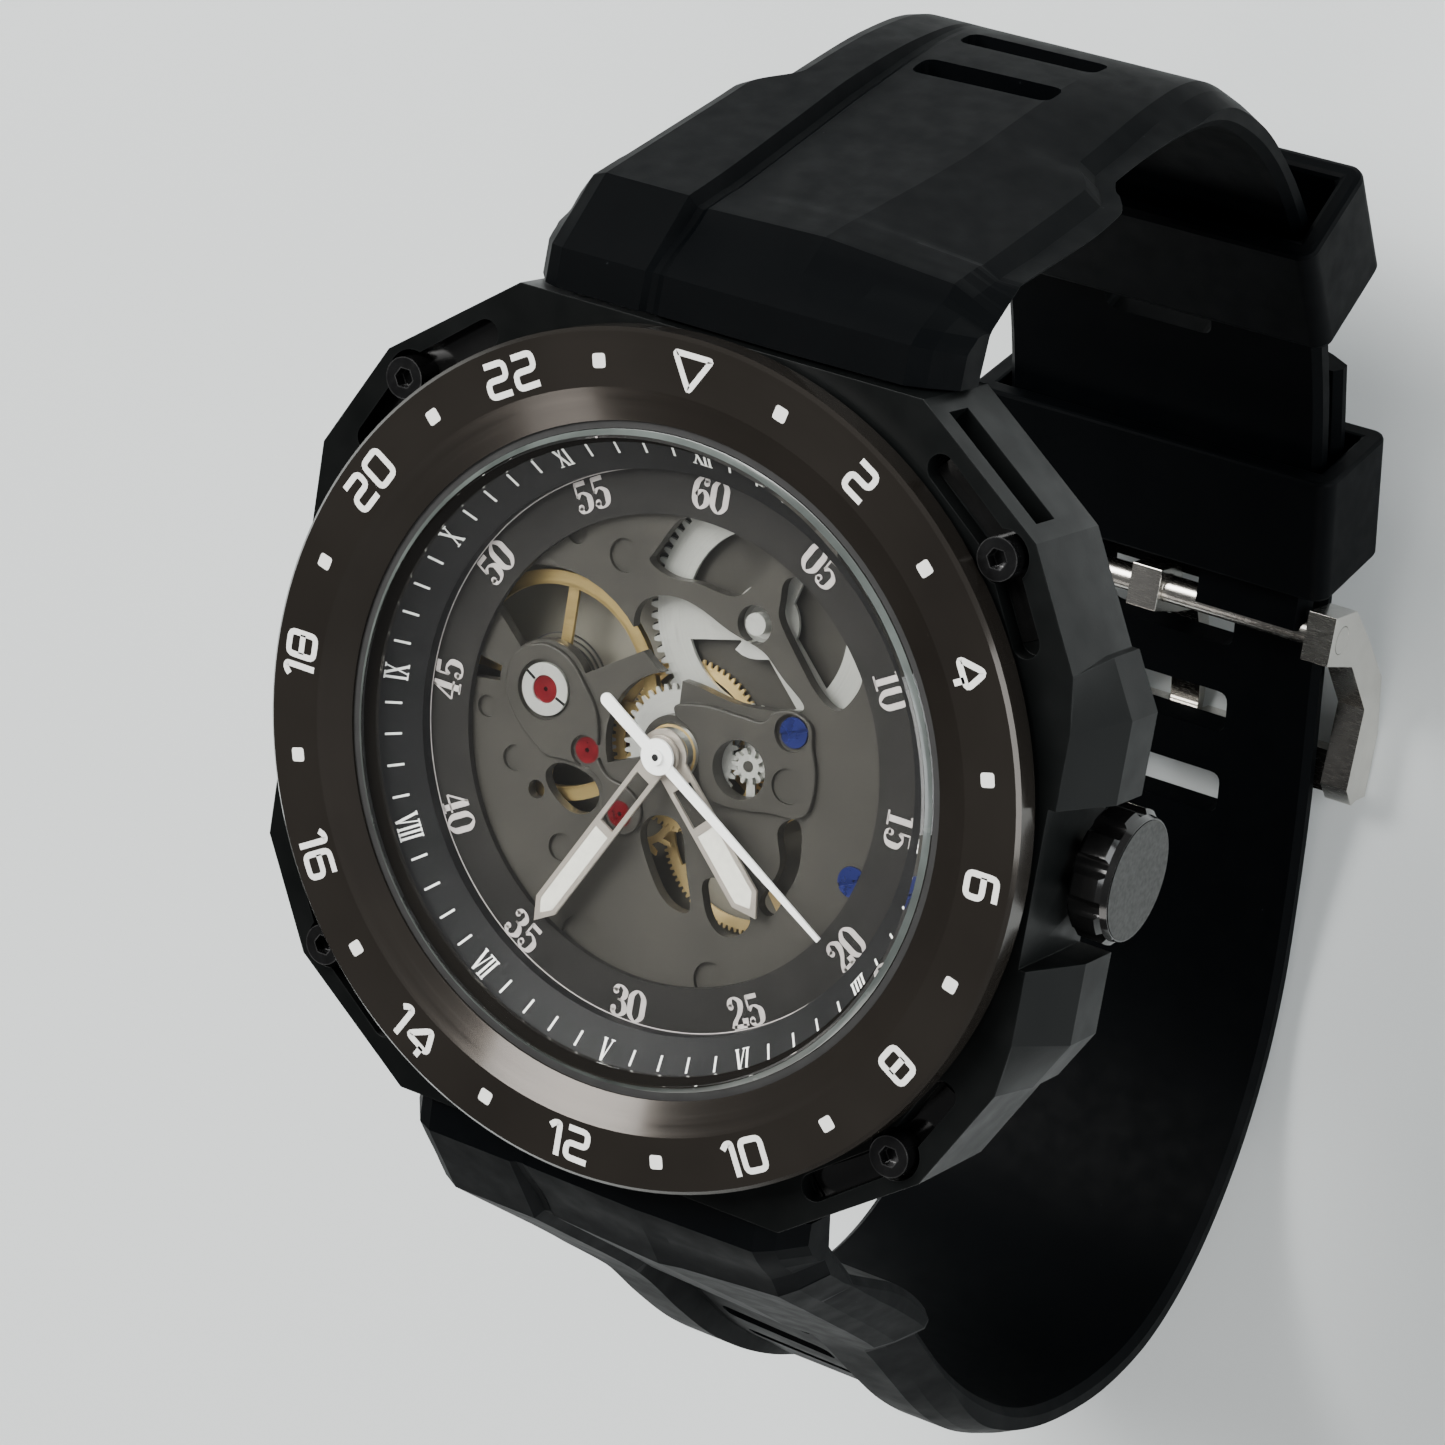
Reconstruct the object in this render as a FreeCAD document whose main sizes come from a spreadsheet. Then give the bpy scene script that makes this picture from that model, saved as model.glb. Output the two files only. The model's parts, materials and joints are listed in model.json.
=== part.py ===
"""A skeleton wristwatch on a moulded strap, closed as if round a wrist.

Frame: millimetres, +Z out of the dial, +X towards the crown at 3, +Y towards 12.
The origin is the centre of the case back's outer face.
"""
import FreeCAD, Part
import math
import os

import Sketcher

# ------------------------------------------------------------------ sizes
SIZES = {
    # case
    "case_end_x": 11.8, "case_end_y": 22.0, "case_mid_x": 19.1, "case_mid_y": 16.7,
    "case_side_x": 22.3, "case_side_y": 10.9, "case_low": 3.35, "case_top": 9.95,
    "case_base": 1.2, "case_taper": 38.0, "cavity_rad": 17.0,
    "guard_out": 24.1, "guard_top": 6.15, "guard_in": 4.15, "guard_tip": 8.5,
    "guard_root": 22.5, "guard_end": 11.3,
    "groove_wide": 1.5, "groove_deep": 1.1, "facet_slot_long": 7.0, "facet_slot_high": 1.9,
    # bezel, crystal, rings
    "bezel_rad": 22.2, "bezel_top": 12.0, "bezel_low": 10.4, "bezel_neck": 20.5,
    "bezel_flat": 19.2, "bezel_mouth": 17.45, "bezel_mouth_top": 11.3, "bezel_ledge": 16.3,
    "bezel_relief": 2.6,
    "crystal_rad": 17.05, "crystal_low": 10.25, "crystal_top": 11.6, "crystal_bevel": 0.45,
    "chapter_out": 16.95, "chapter_in": 14.7, "chapter_top": 9.7, "chapter_lip": 8.25,
    "dial_in": 12.3, "dial_low": 7.2, "dial_top": 7.55, "holder_in": 16.35,
    # case screws
    "screw_x": 17.5, "screw_y": 15.6, "screw_rad": 1.1, "screw_top": 10.6,
    "screw_collar": 1.4, "hex_rad": 0.55,
    # case back
    "back_rad": 18.7, "back_glass_rad": 12.6, "back_glass": 1.0, "back_ledge": 11.9,
    # crown
    "crown_z": 3.7, "crown_rad": 3.54, "crown_in": 22.75, "crown_out": 24.55, "crown_face": 24.9,
    "crown_face_rad": 3.3, "tube_rad": 1.5, "tube_bore": 1.0, "stem_rad": 0.45, "stem_in": 10.4,
    "crown_notches": 10,
    # plates
    "plate_rad": 16.3, "lift": 0.7, "main_low": 2.85, "main_top": 3.65, "bridge_low": 6.45,
    "bridge_top": 7.1,
    "pivot_rad": 0.1, "pivot_play": 0.02,
    # wheel places
    "barrel_x": 3.44, "barrel_y": 7.79, "third_x": 3.5, "third_y": -4.2,
    "escape_x": -2.55, "escape_y": -4.18, "fork_x": -5.04, "fork_y": -1.44,
    "balance_x": -8.0, "balance_y": 1.05, "minute_x": 4.07, "minute_y": 0.28,
    "crown_wheel_x": 10.27, "crown_wheel_y": 2.45, "click_x": 11.9, "click_y": 8.6,
    # tooth counts
    "barrel_teeth": 76, "centre_leaves": 12, "centre_teeth": 75, "third_leaves": 15,
    "third_teeth": 96, "fourth_leaves": 8, "fourth_teeth": 84, "escape_leaves": 7,
    "escape_teeth": 15, "cannon_leaves": 12, "minute_teeth": 36, "minute_leaves": 10,
    "hour_teeth": 40, "ratchet_teeth": 70, "crown_wheel_teeth": 21,
    # movement wheels
    "escape_rad": 2.67, "balance_rad": 6.1, "balance_rim": 0.75, "roller_rad": 1.1,
    "drum_rad": 6.85, "drum_low": 3.65, "drum_high": 4.6, "rotor_rad": 15.7,
    # hands
    "hour_long": 9.6, "hour_wide": 1.75, "hour_at": 135.0, "hour_low": 7.9,
    "minute_long": 12.3, "minute_wide": 1.44, "minute_at": 208.4, "minute_low": 8.25,
    "second_long": 12.65, "second_tail": 4.0, "second_at": 121.0, "second_low": 8.58,
    "hand_thick": 0.16,
    # strap
    "strap_wide": 24.4, "strap_narrow": 20.8, "strap_neck_z": -8.0, "bar_rad": 0.75,
    "bar_y": 24.2, "bar_z": 6.4, "bar_long": 22.0, "bar_play": 0.04, "lug_wide": 9.8,
    "slot_wide": 9.2, "slot_long": 2.8, "tang_slot": 4.0, "slot_pitch": 5.6, "keeper_wall": 1.25,
    "buckle_x": 12.7, "buckle_pin_y": 0.4, "buckle_pin_z": -47.7, "tang_wide": 2.0,
}

doc = FreeCAD.newDocument("Wristwatch")
sheet = doc.addObject("Spreadsheet::Sheet", "Sizes")
for row, (alias, value) in enumerate(SIZES.items(), start=1):
    sheet.set(f"A{row}", alias)
    sheet.set(f"B{row}", str(value))
    sheet.setAlias(f"B{row}", alias)
doc.recompute()


class Size:
    """A number from the sheet, together with the expression that gives it."""

    def __init__(self, value, text):
        self.value = float(value)
        self.text = text

    def __add__(self, other):
        return Size(self.value + number(other), f"({self.text} + {text_of(other)})")

    def __sub__(self, other):
        return Size(self.value - number(other), f"({self.text} - {text_of(other)})")

    def __rsub__(self, other):
        return Size(number(other) - self.value, f"({text_of(other)} - {self.text})")

    def __mul__(self, other):
        return Size(self.value * number(other), f"({self.text} * {text_of(other)})")

    def __truediv__(self, other):
        return Size(self.value / number(other), f"({self.text} / {text_of(other)})")

    def __neg__(self):
        return Size(-self.value, f"(-1 * {self.text})")

    __radd__ = __add__
    __rmul__ = __mul__


class SheetSizes:
    """Gives each cell of the sheet as a Size, by its alias."""

    def __getattr__(self, alias):
        return Size(sheet.get(alias), f"Sizes.{alias}")


d = SheetSizes()


def number(size):
    return size.value if isinstance(size, Size) else float(size)


def text_of(size):
    return size.text if isinstance(size, Size) else f"{size:.6f}"


def bind(item, path, size):
    """Ties one property of an object to a size."""
    item.setExpression(path, text_of(size))


def place(item, x=0, y=0, z=0):
    """Ties an object's place to sizes."""
    bind(item, "Placement.Base.x", x)
    bind(item, "Placement.Base.y", y)
    bind(item, "Placement.Base.z", z)
    return item


parts = []


def keep(item, label):
    """Makes an object one of the watch's pieces, under the piece's name."""
    item.Label = label
    parts.append(item)
    return item


# ------------------------------------------------------------------ sketches
def hold(sketch, kind, where, size):
    index = sketch.addConstraint(Sketcher.Constraint(kind, *where, number(size)))
    if isinstance(size, Size):
        sketch.setExpression(f"Constraints[{index}]", size.text)


def polygon(points):
    """A closed outline of straight sides, each corner held by its two distances."""

    def draw(sketch):
        first = sketch.GeometryCount
        corners = [FreeCAD.Vector(number(x), number(y), 0) for x, y in points]
        count = len(corners)
        for i in range(count):
            sketch.addGeometry(Part.LineSegment(corners[i], corners[(i + 1) % count]))
        for i in range(count):
            joined = (first + i, 2, first + (i + 1) % count, 1)
            sketch.addConstraint(Sketcher.Constraint("Coincident", *joined))
        for i, (x, y) in enumerate(points):
            hold(sketch, "DistanceX", (-1, 1, first + i, 1), x)
            hold(sketch, "DistanceY", (-1, 1, first + i, 1), y)

    return draw


def circle(x, y, radius):
    def draw(sketch):
        centre = FreeCAD.Vector(number(x), number(y), 0)
        ring = Part.Circle(centre, FreeCAD.Vector(0, 0, 1), number(radius))
        index = sketch.addGeometry(ring)
        hold(sketch, "DistanceX", (-1, 1, index, 3), x)
        hold(sketch, "DistanceY", (-1, 1, index, 3), y)
        hold(sketch, "Radius", (index,), radius)

    return draw


def new_sketch(body, name, role, height=0):
    sketch = body.newObject("Sketcher::SketchObject", name)
    plane = [f for f in body.Origin.OriginFeatures if f.Role == role][0]
    sketch.AttachmentSupport = [(plane, "")]
    sketch.MapMode = "FlatFace"
    bind(sketch, "AttachmentOffset.Base.z", height)
    return sketch


def pad(name, loops, low, high, taper=0):
    """A body made by raising an outline from one height to another."""
    body = doc.addObject("PartDesign::Body", name)
    sketch = new_sketch(body, name + "Outline", "XY_Plane", low)
    for loop in loops:
        loop(sketch)
    raised = body.newObject("PartDesign::Pad", name + "Pad")
    raised.Profile = sketch
    bind(raised, "Length", high - low)
    bind(raised, "TaperAngle", taper)
    return body


def turn(name, *profiles):
    """A body turned about Z from outlines of (radius, height)."""
    body = doc.addObject("PartDesign::Body", name)
    sketch = new_sketch(body, name + "Profile", "XZ_Plane")
    for profile in profiles:
        polygon(profile)(sketch)
    turned = body.newObject("PartDesign::Revolution", name + "Turn")
    turned.Profile = sketch
    turned.ReferenceAxis = (sketch, ["V_Axis"])
    turned.Angle = 360
    return body


def ring_profile(inner, outer, low, high):
    return [(inner, low), (outer, low), (outer, high), (inner, high)]


# ------------------------------------------------------------------ solids
def cylinder(name, radius, height, x=0, y=0, z=0):
    item = doc.addObject("Part::Cylinder", name)
    bind(item, "Radius", radius)
    bind(item, "Height", height)
    return place(item, x, y, z)


def box(name, long, wide, high, x=0, y=0, z=0, angle=0):
    """A block centred on (x, y), standing on z, and turned about Z."""
    item = doc.addObject("Part::Box", name)
    bind(item, "Length", long)
    bind(item, "Width", wide)
    bind(item, "Height", high)
    turned = FreeCAD.Rotation(FreeCAD.Vector(0, 0, 1), angle)
    item.Placement.Rotation = turned
    corner = turned.multVec(FreeCAD.Vector(number(long) / 2, number(wide) / 2, 0))
    return place(item, x - corner.x, y - corner.y, z)


def cut(name, base, tools):
    item = doc.addObject("Part::Cut", name)
    item.Base = base
    item.Tool = tools[0] if len(tools) == 1 else fuse(name + "Tools", tools)
    return item


def fuse(name, shapes):
    item = doc.addObject("Part::MultiFuse", name)
    item.Shapes = shapes
    return item


def group(name, shapes):
    """Separate solids that share one piece's file."""
    item = doc.addObject("Part::Compound", name)
    item.Links = shapes
    return item


def feature(name, shape, x=0, y=0, z=0, rotation=None):
    """A piece whose shape is worked out here from the sheet's sizes."""
    item = doc.addObject("Part::Feature", name)
    item.Shape = shape
    place_at = FreeCAD.Vector(number(x), number(y), number(z))
    item.Placement = FreeCAD.Placement(place_at, rotation or FreeCAD.Rotation())
    return item


def in_movement(name, shape, x=0, y=0, z=0, rotation=None):
    """A movement piece: its heights are counted from the movement's own base level."""
    return feature(name, shape, x, y, number(z) + number(d.lift), rotation)


def polar(radius, angle):
    """The point at a radius and an angle in degrees, anticlockwise from +X."""
    return (radius * math.cos(math.radians(angle)), radius * math.sin(math.radians(angle)))


def flat_shape(points, thickness):
    """A straight-sided plate standing on z 0."""
    corners = [FreeCAD.Vector(x, y, 0) for x, y in points]
    face = Part.Face(Part.makePolygon(corners + corners[:1]))
    return face.extrude(FreeCAD.Vector(0, 0, thickness))


def disc(radius, height, low=0.0):
    return Part.makeCylinder(radius, height, FreeCAD.Vector(0, 0, low))


ADDENDUM = 0.9
DEDENDUM = 1.15
TOOTH_SHARES = (0.30, 0.235, 0.13)  # half widths at root, pitch and tip, as shares of the pitch


def tooth_ring(teeth, module, phase):
    """The outline of a gear with straight-sided teeth, one tooth centred on phase."""
    pitch_rad = teeth * module / 2
    radii = (pitch_rad - DEDENDUM * module, pitch_rad, pitch_rad + ADDENDUM * module)
    step = 360.0 / teeth
    points = []
    for tooth in range(teeth):
        middle = phase + tooth * step
        for radius, share in zip(radii, TOOTH_SHARES):
            points.append(polar(radius, middle - share * step))
        for radius, share in zip(radii[::-1], TOOTH_SHARES[::-1]):
            points.append(polar(radius, middle + share * step))
    return points


def windows(outer, hub, spokes, spoke_wide, height, turn_by=0.0):
    """The spaces between a wheel's spokes."""
    space = disc(outer, height).cut(disc(hub, height))
    for i in range(spokes):
        bar = Part.makeBox(outer + 1, spoke_wide, height, FreeCAD.Vector(0, -spoke_wide / 2, 0))
        bar.rotate(FreeCAD.Vector(0, 0, 0), FreeCAD.Vector(0, 0, 1), turn_by + i * 360.0 / spokes)
        space = space.cut(bar)
    return space


def wheel_shape(teeth, module, phase, thickness, bore, rim=0.0, hub=0.0, spokes=0, spoke_wide=0.6,
                first=None):
    """A toothed wheel with a bore, and with spokes where a rim is given."""
    shape = flat_shape(tooth_ring(teeth, module, phase), thickness)
    if spokes:
        inside = teeth * module / 2 - DEDENDUM * module - rim
        turned = phase if first is None else first
        shape = shape.cut(windows(inside, hub, spokes, spoke_wide, thickness, turned))
    return shape.cut(disc(bore, thickness))


def arbor_shape(steps, bore=0.0):
    """A shaft of stacked lengths, each (low, high, radius), with an optional bore."""
    shape = None
    for low, high, radius in steps:
        length = disc(radius, high - low, low)
        shape = length if shape is None else shape.fuse(length)
    if bore:
        low = min(s[0] for s in steps)
        high = max(s[1] for s in steps)
        shape = shape.cut(disc(bore, high - low, low))
    return shape.removeSplitter()


def level(height):
    """A height of the watch as a height in the movement."""
    return number(height) - number(d.lift)


def heading(from_x, from_y, to_x, to_y):
    """The direction from one axis to another, in degrees."""
    return math.degrees(math.atan2(number(to_y) - number(from_y), number(to_x) - number(from_x)))


def span(from_x, from_y, to_x, to_y):
    """The distance between two axes."""
    return math.hypot(number(to_x) - number(from_x), number(to_y) - number(from_y))


def count(size):
    return int(round(number(size)))


# ------------------------------------------------------------------ case
def case_outline():
    quarter = [(d.case_side_x, d.case_side_y), (d.case_mid_x, d.case_mid_y), (d.case_end_x, d.case_end_y)]
    left = [(-x, y) for x, y in reversed(quarter)]
    low_left = [(-x, -y) for x, y in quarter]
    low_right = [(x, -y) for x, y in reversed(quarter)]
    return quarter + left + low_left + low_right


def crown_guard(side):
    """One of the two shoulders beside the crown, with a sloping top."""
    foot = [
        (d.guard_root, d.guard_end), (d.guard_out, d.guard_tip), (d.guard_out, d.guard_in), (21.0, d.guard_in),
        (21.0, d.guard_end),
    ]
    head = [(22.3, 10.9), (22.7, d.guard_tip - 0.4), (22.7, d.guard_in), (21.0, d.guard_in), (21.0, 10.9)]
    heights = (d.case_low, d.guard_top, d.case_top)
    base = pad(f"Guard{side}Foot", [polygon([(x, y * side) for x, y in foot])], heights[0], heights[1])
    sections = []
    for outline, height in ((foot, heights[1]), (head, heights[2])):
        sketch = doc.addObject("Sketcher::SketchObject", f"Guard{side}Section")
        polygon([(x, y * side) for x, y in outline])(sketch)
        sections.append(place(sketch, 0, 0, height))
    slope = doc.addObject("Part::Loft", f"Guard{side}Slope")
    slope.Sections = sections
    slope.Solid = True
    slope.Ruled = True
    return [base, slope]


def screw_grooves():
    """The bent round-ended groove that each case screw stands in."""
    tools = []
    deep = d.groove_deep
    low = d.case_top - deep
    for i, (sx, sy) in enumerate(((1, 1), (-1, 1), (-1, -1), (1, -1))):
        path = [(13.4 * sx, 18.9 * sy), (17.2 * sx, 16.0 * sy), (19.5 * sx, 11.8 * sy)]
        for j, (x, y) in enumerate(path):
            tools.append(cylinder(f"GrooveEnd{i}{j}", d.groove_wide / 2, deep + 1, x, y, low))
        for j in range(2):
            (x1, y1), (x2, y2) = path[j], path[j + 1]
            angle = heading(x1, y1, x2, y2)
            long = span(x1, y1, x2, y2)
            middle = ((x1 + x2) / 2, (y1 + y2) / 2)
            tools.append(box(f"GrooveRun{i}{j}", long, d.groove_wide, deep + 1, *middle, low, angle))
    return tools


def screw_places():
    return [(d.screw_x * sx, d.screw_y * sy) for sx in (1, -1) for sy in (1, -1)]


def facet_slots():
    """The narrow slot sunk in each of the four corner facets."""
    tools = []
    middle_x = (number(d.case_end_x) + number(d.case_mid_x)) / 2
    middle_y = (number(d.case_end_y) + number(d.case_mid_y)) / 2
    angle = heading(d.case_end_x, d.case_end_y, d.case_mid_x, d.case_mid_y)
    for i, (sx, sy) in enumerate(((1, 1), (-1, 1), (-1, -1), (1, -1))):
        turned = angle if sx * sy > 0 else -angle
        place_at = (middle_x * sx, middle_y * sy, 6.7)
        tools.append(box(f"FacetSlot{i}", d.facet_slot_long, 2.0, d.facet_slot_high, *place_at, turned))
    return tools


def lug(side):
    """The tongue at a strap end, which carries the strap's bar."""
    block = box(f"Lug{side}", d.lug_wide, 4.2, 2.2, 0, side * (d.case_end_y + 1.3), 5.2)
    hole = bar_along_x(f"LugHole{side}", d.bar_rad, 40, side * d.bar_y, d.bar_z)
    return cut(f"LugDrilled{side}", block, [hole])


def bar_along_x(name, radius, long, y, z):
    """A round bar along X, centred on x 0."""
    item = doc.addObject("Part::Cylinder", name)
    bind(item, "Radius", radius)
    bind(item, "Height", long)
    item.Placement.Rotation = FreeCAD.Rotation(FreeCAD.Vector(0, 1, 0), 90)
    return place(item, -(long / 2) if isinstance(long, Size) else -long / 2, y, z)


def make_case():
    wall = pad("CaseWall", [polygon(case_outline())], d.case_low, d.case_top)
    base = doc.addObject("PartDesign::Body", "CaseBase")
    sketch = new_sketch(base, "CaseBaseOutline", "XY_Plane", d.case_low)
    polygon(case_outline())(sketch)
    under = base.newObject("PartDesign::Pad", "CaseBasePad")
    under.Profile = sketch
    under.Reversed = True
    bind(under, "Length", d.case_low - d.case_base)
    bind(under, "TaperAngle", -d.case_taper)
    solids = [wall, base] + crown_guard(1) + crown_guard(-1) + [lug(1), lug(-1)]
    tools = [
        cylinder("CaseCavity", d.cavity_rad, 20, 0, 0, 0),
        turn("BackGasketGroove", ring_profile(17.5, 18.2, d.case_base - 1, d.case_base + 0.5)),
        along_x("TubeHole", d.tube_rad, 8, 16, d.crown_z),
        along_x("CrownRoom", d.crown_rad + 0.25, 4, 22.5, d.crown_z),
    ]
    tools += screw_grooves() + facet_slots()
    for i, (x, y) in enumerate(screw_places()):
        tools.append(cylinder(f"ScrewHole{i}", 0.6, 5, x, y, 6.0))
        tools.append(cylinder(f"ScrewSeat{i}", d.screw_collar, 3, x, y, d.case_top - d.groove_deep))
    keep(cut("CaseBody", fuse("CaseSolid", solids), tools), "case_body")


def along_x(name, radius, long, x, z, y=0):
    """A round bar that starts at x and runs along +X."""
    item = doc.addObject("Part::Cylinder", name)
    bind(item, "Radius", radius)
    bind(item, "Height", long)
    item.Placement.Rotation = FreeCAD.Rotation(FreeCAD.Vector(0, 1, 0), 90)
    return place(item, x, y, z)


def make_bezel():
    profile = [
        (d.bezel_ledge, d.case_top), (d.bezel_neck, d.case_top), (d.bezel_neck, d.bezel_low),
        (d.bezel_rad, d.bezel_low), (d.bezel_rad, d.bezel_top - 0.2), (d.bezel_rad - 0.2, d.bezel_top),
        (d.bezel_flat, d.bezel_top), (d.bezel_mouth, d.bezel_mouth_top),
        (d.bezel_mouth, d.crystal_low), (d.bezel_ledge, d.crystal_low),
    ]
    ring = turn("BezelRing", profile)
    reliefs = []
    for i, (x, y) in enumerate(screw_places()):
        reliefs.append(cylinder(f"BezelRelief{i}", d.bezel_relief, 5, x * 1.07, y * 1.07, 8))
    keep(cut("Bezel", ring, reliefs), "bezel")
    crystal = [
        (0, d.crystal_low), (d.crystal_rad, d.crystal_low), (d.crystal_rad, d.crystal_top - d.crystal_bevel),
        (d.crystal_rad - d.crystal_bevel, d.crystal_top), (0, d.crystal_top),
    ]
    keep(turn("Crystal", crystal), "crystal")
    gasket = ring_profile(d.crystal_rad, d.bezel_mouth, d.crystal_low, d.bezel_mouth_top - 0.15)
    keep(turn("CrystalGasket", gasket), "crystal_gasket")


def make_case_screws():
    """Four socket-head screws beside the bezel."""
    screws = []
    for i, (x, y) in enumerate(screw_places()):
        low = d.case_top - d.groove_deep
        head = cylinder(f"ScrewHead{i}", d.screw_rad, d.screw_top - low, x, y, low)
        shank = cylinder(f"ScrewShank{i}", 0.55, low - 6.2, x, y, 6.2)
        socket = doc.addObject("Part::Prism", f"ScrewSocket{i}")
        socket.Polygon = 6
        bind(socket, "Circumradius", d.hex_rad)
        bind(socket, "Height", 2)
        place(socket, x, y, d.screw_top - 0.7)
        screws.append(cut(f"Screw{i}", fuse(f"ScrewSolid{i}", [head, shank]), [socket]))
    keep(group("BezelScrews", screws), "bezel_screws")


def make_rings():
    chapter = [
        (d.chapter_in, d.dial_top), (d.chapter_out, d.dial_top), (d.chapter_out, d.chapter_top),
        (d.chapter_out - 0.15, d.chapter_top), (d.chapter_in, d.chapter_lip),
    ]
    keep(turn("ChapterRing", chapter), "chapter_ring")
    edges = [circle(0, 0, d.chapter_out), circle(0, 0, d.dial_in)]
    keep(pad("DialRing", edges, d.dial_low, d.dial_top), "dial_ring")
    holder = turn("HolderRing", ring_profile(d.holder_in, d.chapter_out, d.main_low, d.dial_low))
    gap = along_x("HolderGap", 0.8, 3, 15, d.crown_z)
    keep(cut("MovementHolder", holder, [gap]), "movement_holder")


def make_case_back():
    ring = [
        (d.back_ledge, d.back_glass), (d.back_ledge, 1.3), (16.4, 1.3), (16.4, d.case_base),
        (d.back_rad, d.case_base), (d.back_rad, 0.5), (d.back_rad - 0.5, 0), (d.back_glass_rad + 0.25, 0),
        (d.back_glass_rad, 0.1), (d.back_glass_rad, d.back_glass),
    ]
    notches = []
    for i in range(6):
        x, y = polar(17.1, 60 * i + 30)
        notches.append(cylinder(f"BackNotch{i}", 0.8, 1.4, x, y, -1))
    keep(cut("CaseBack", turn("BackRing", ring), notches), "case_back")
    glass = ring_profile(0, d.back_glass_rad, 0, d.back_glass)
    keep(turn("BackGlass", glass), "case_back_glass")
    keep(turn("BackGasket", ring_profile(17.55, 18.15, d.case_base, d.case_base + 0.48)), "case_back_gasket")


# ------------------------------------------------------------------ crown
def make_crown():
    turned = FreeCAD.Rotation(FreeCAD.Vector(0, 1, 0), 90)
    long = d.crown_out - d.crown_in
    face = d.crown_face - d.crown_in
    profile = [
        (d.stem_rad, 0.9), (d.tube_rad + 0.25, 0.9), (d.tube_rad + 0.25, 0), (d.crown_rad - 0.25, 0),
        (d.crown_rad, 0.25), (d.crown_rad, long - 0.2), (d.crown_face_rad, long),
        (d.crown_face_rad - 0.1, face),
        (0, face), (0, long), (d.stem_rad, long),
    ]
    body = turn("CrownKnob", profile)
    notches = []
    for i in range(count(d.crown_notches)):
        x, y = polar(number(d.crown_rad) + 0.2, (i + 0.5) * 360.0 / count(d.crown_notches))
        notches.append(cylinder(f"CrownNotch{i}", 0.58, long + 0.5, x, y, -0.5))
    crown = cut("Crown", body, notches)
    crown.Placement.Rotation = turned
    keep(place(crown, d.crown_in, 0, d.crown_z), "crown")
    tube = turn("CrownTube", [
        (d.tube_bore, 0), (d.tube_rad, 0), (d.tube_rad, 6.5), (d.tube_bore, 6.5),
    ])
    tube.Placement.Rotation = turned
    keep(place(tube, 17.05, 0, d.crown_z), "crown_tube")
    gasket = turn("CrownGasket", ring_profile(d.stem_rad + 0.02, d.tube_bore - 0.02, 0, 0.8))
    gasket.Placement.Rotation = turned
    keep(place(gasket, 21.2, 0, d.crown_z), "crown_gasket")
    keep(along_x("Stem", d.stem_rad, d.crown_out - d.stem_in, d.stem_in, d.crown_z), "winding_stem")


def make_winding_work():
    """The winding pinion on the stem, the crown wheel, the ratchet wheel and its click."""
    pinion = wheel_shape(14, 0.22, 360 / 28, 1.1, number(d.stem_rad) + 0.03)
    pinion = pinion.fuse(disc(0.85, 0.5, 1.1).cut(disc(number(d.stem_rad) + 0.03, 0.5, 1.1)))
    turned = FreeCAD.Rotation(FreeCAD.Vector(0, 1, 0), 90)
    keep(feature("WindingPinion", pinion, 11.0, 0, d.crown_z, turned), "winding_pinion")
    gap = span(d.barrel_x, d.barrel_y, d.crown_wheel_x, d.crown_wheel_y)
    teeth = (count(d.ratchet_teeth), count(d.crown_wheel_teeth))
    module = 2 * gap / sum(teeth)
    towards = heading(d.barrel_x, d.barrel_y, d.crown_wheel_x, d.crown_wheel_y)
    ratchet = wheel_shape(teeth[0], module, towards, 0.2, 0.55, 1.75, 1.9, 3, 2.0, 195)
    keep(in_movement("RatchetWheel", ratchet, d.barrel_x, d.barrel_y, 5.0), "ratchet_wheel")
    crown_wheel = wheel_shape(teeth[1], module, towards + 180 + 180 / teeth[1], 0.2, 0.42)
    keep(in_movement("CrownWheel", crown_wheel, d.crown_wheel_x, d.crown_wheel_y, 5.0), "crown_wheel")
    reach = span(d.click_x, d.click_y, d.barrel_x, d.barrel_y)
    aim = heading(d.click_x, d.click_y, d.barrel_x, d.barrel_y)
    tip = reach - teeth[0] * module / 2 - 0.95 * module
    outline = [polar(0.62, aim + 100), polar(tip, aim + 2), polar(tip, aim - 4), polar(0.62, aim - 100)]
    pawl = flat_shape(outline, 0.2)
    pawl = pawl.fuse(disc(0.75, 0.2)).cut(disc(0.4, 0.2))
    keep(in_movement("Click", pawl.removeSplitter(), d.click_x, d.click_y, 5.0), "click")


def make_click_spring():
    """The bent flat spring under the dial, seen through the windows beside the ratchet wheel."""
    path = [(2.3, 6.3), (3.3, 6.15), (4.4, 6.35), (5.6, 5.6), (7.0, 4.7), (8.25, 3.5)]
    curve = Part.BSplineCurve()
    curve.interpolate([FreeCAD.Vector(x, y, 0) for x, y in path])
    spine = curve.toShape()
    left, right = [], []
    for i in range(21):
        at = curve.FirstParameter + (curve.LastParameter - curve.FirstParameter) * i / 20
        point, along = curve.value(at), curve.tangent(at)[0]
        half = 0.42 - 0.24 * i / 20
        side = FreeCAD.Vector(-along.y, along.x, 0) * half
        left.append(point + side)
        right.append(point - side)
    outline = [(p.x, p.y) for p in left + right[::-1]]
    shape = flat_shape(outline, 0.2)
    keep(in_movement("ClickSpring", shape, 0, 0, 5.3), "click_spring")
    return spine


# ------------------------------------------------------------------ going train
def pivot_steps(low, high, radius, shoulders=(2.95, 5.75)):
    """A shaft between the plates with a thin pivot at each end."""
    pivot = number(d.pivot_rad)
    first, last = shoulders[0] + 0.03, shoulders[1] - 0.03
    return [(low, first, pivot), (first, last, radius), (last, high, pivot)]


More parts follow.
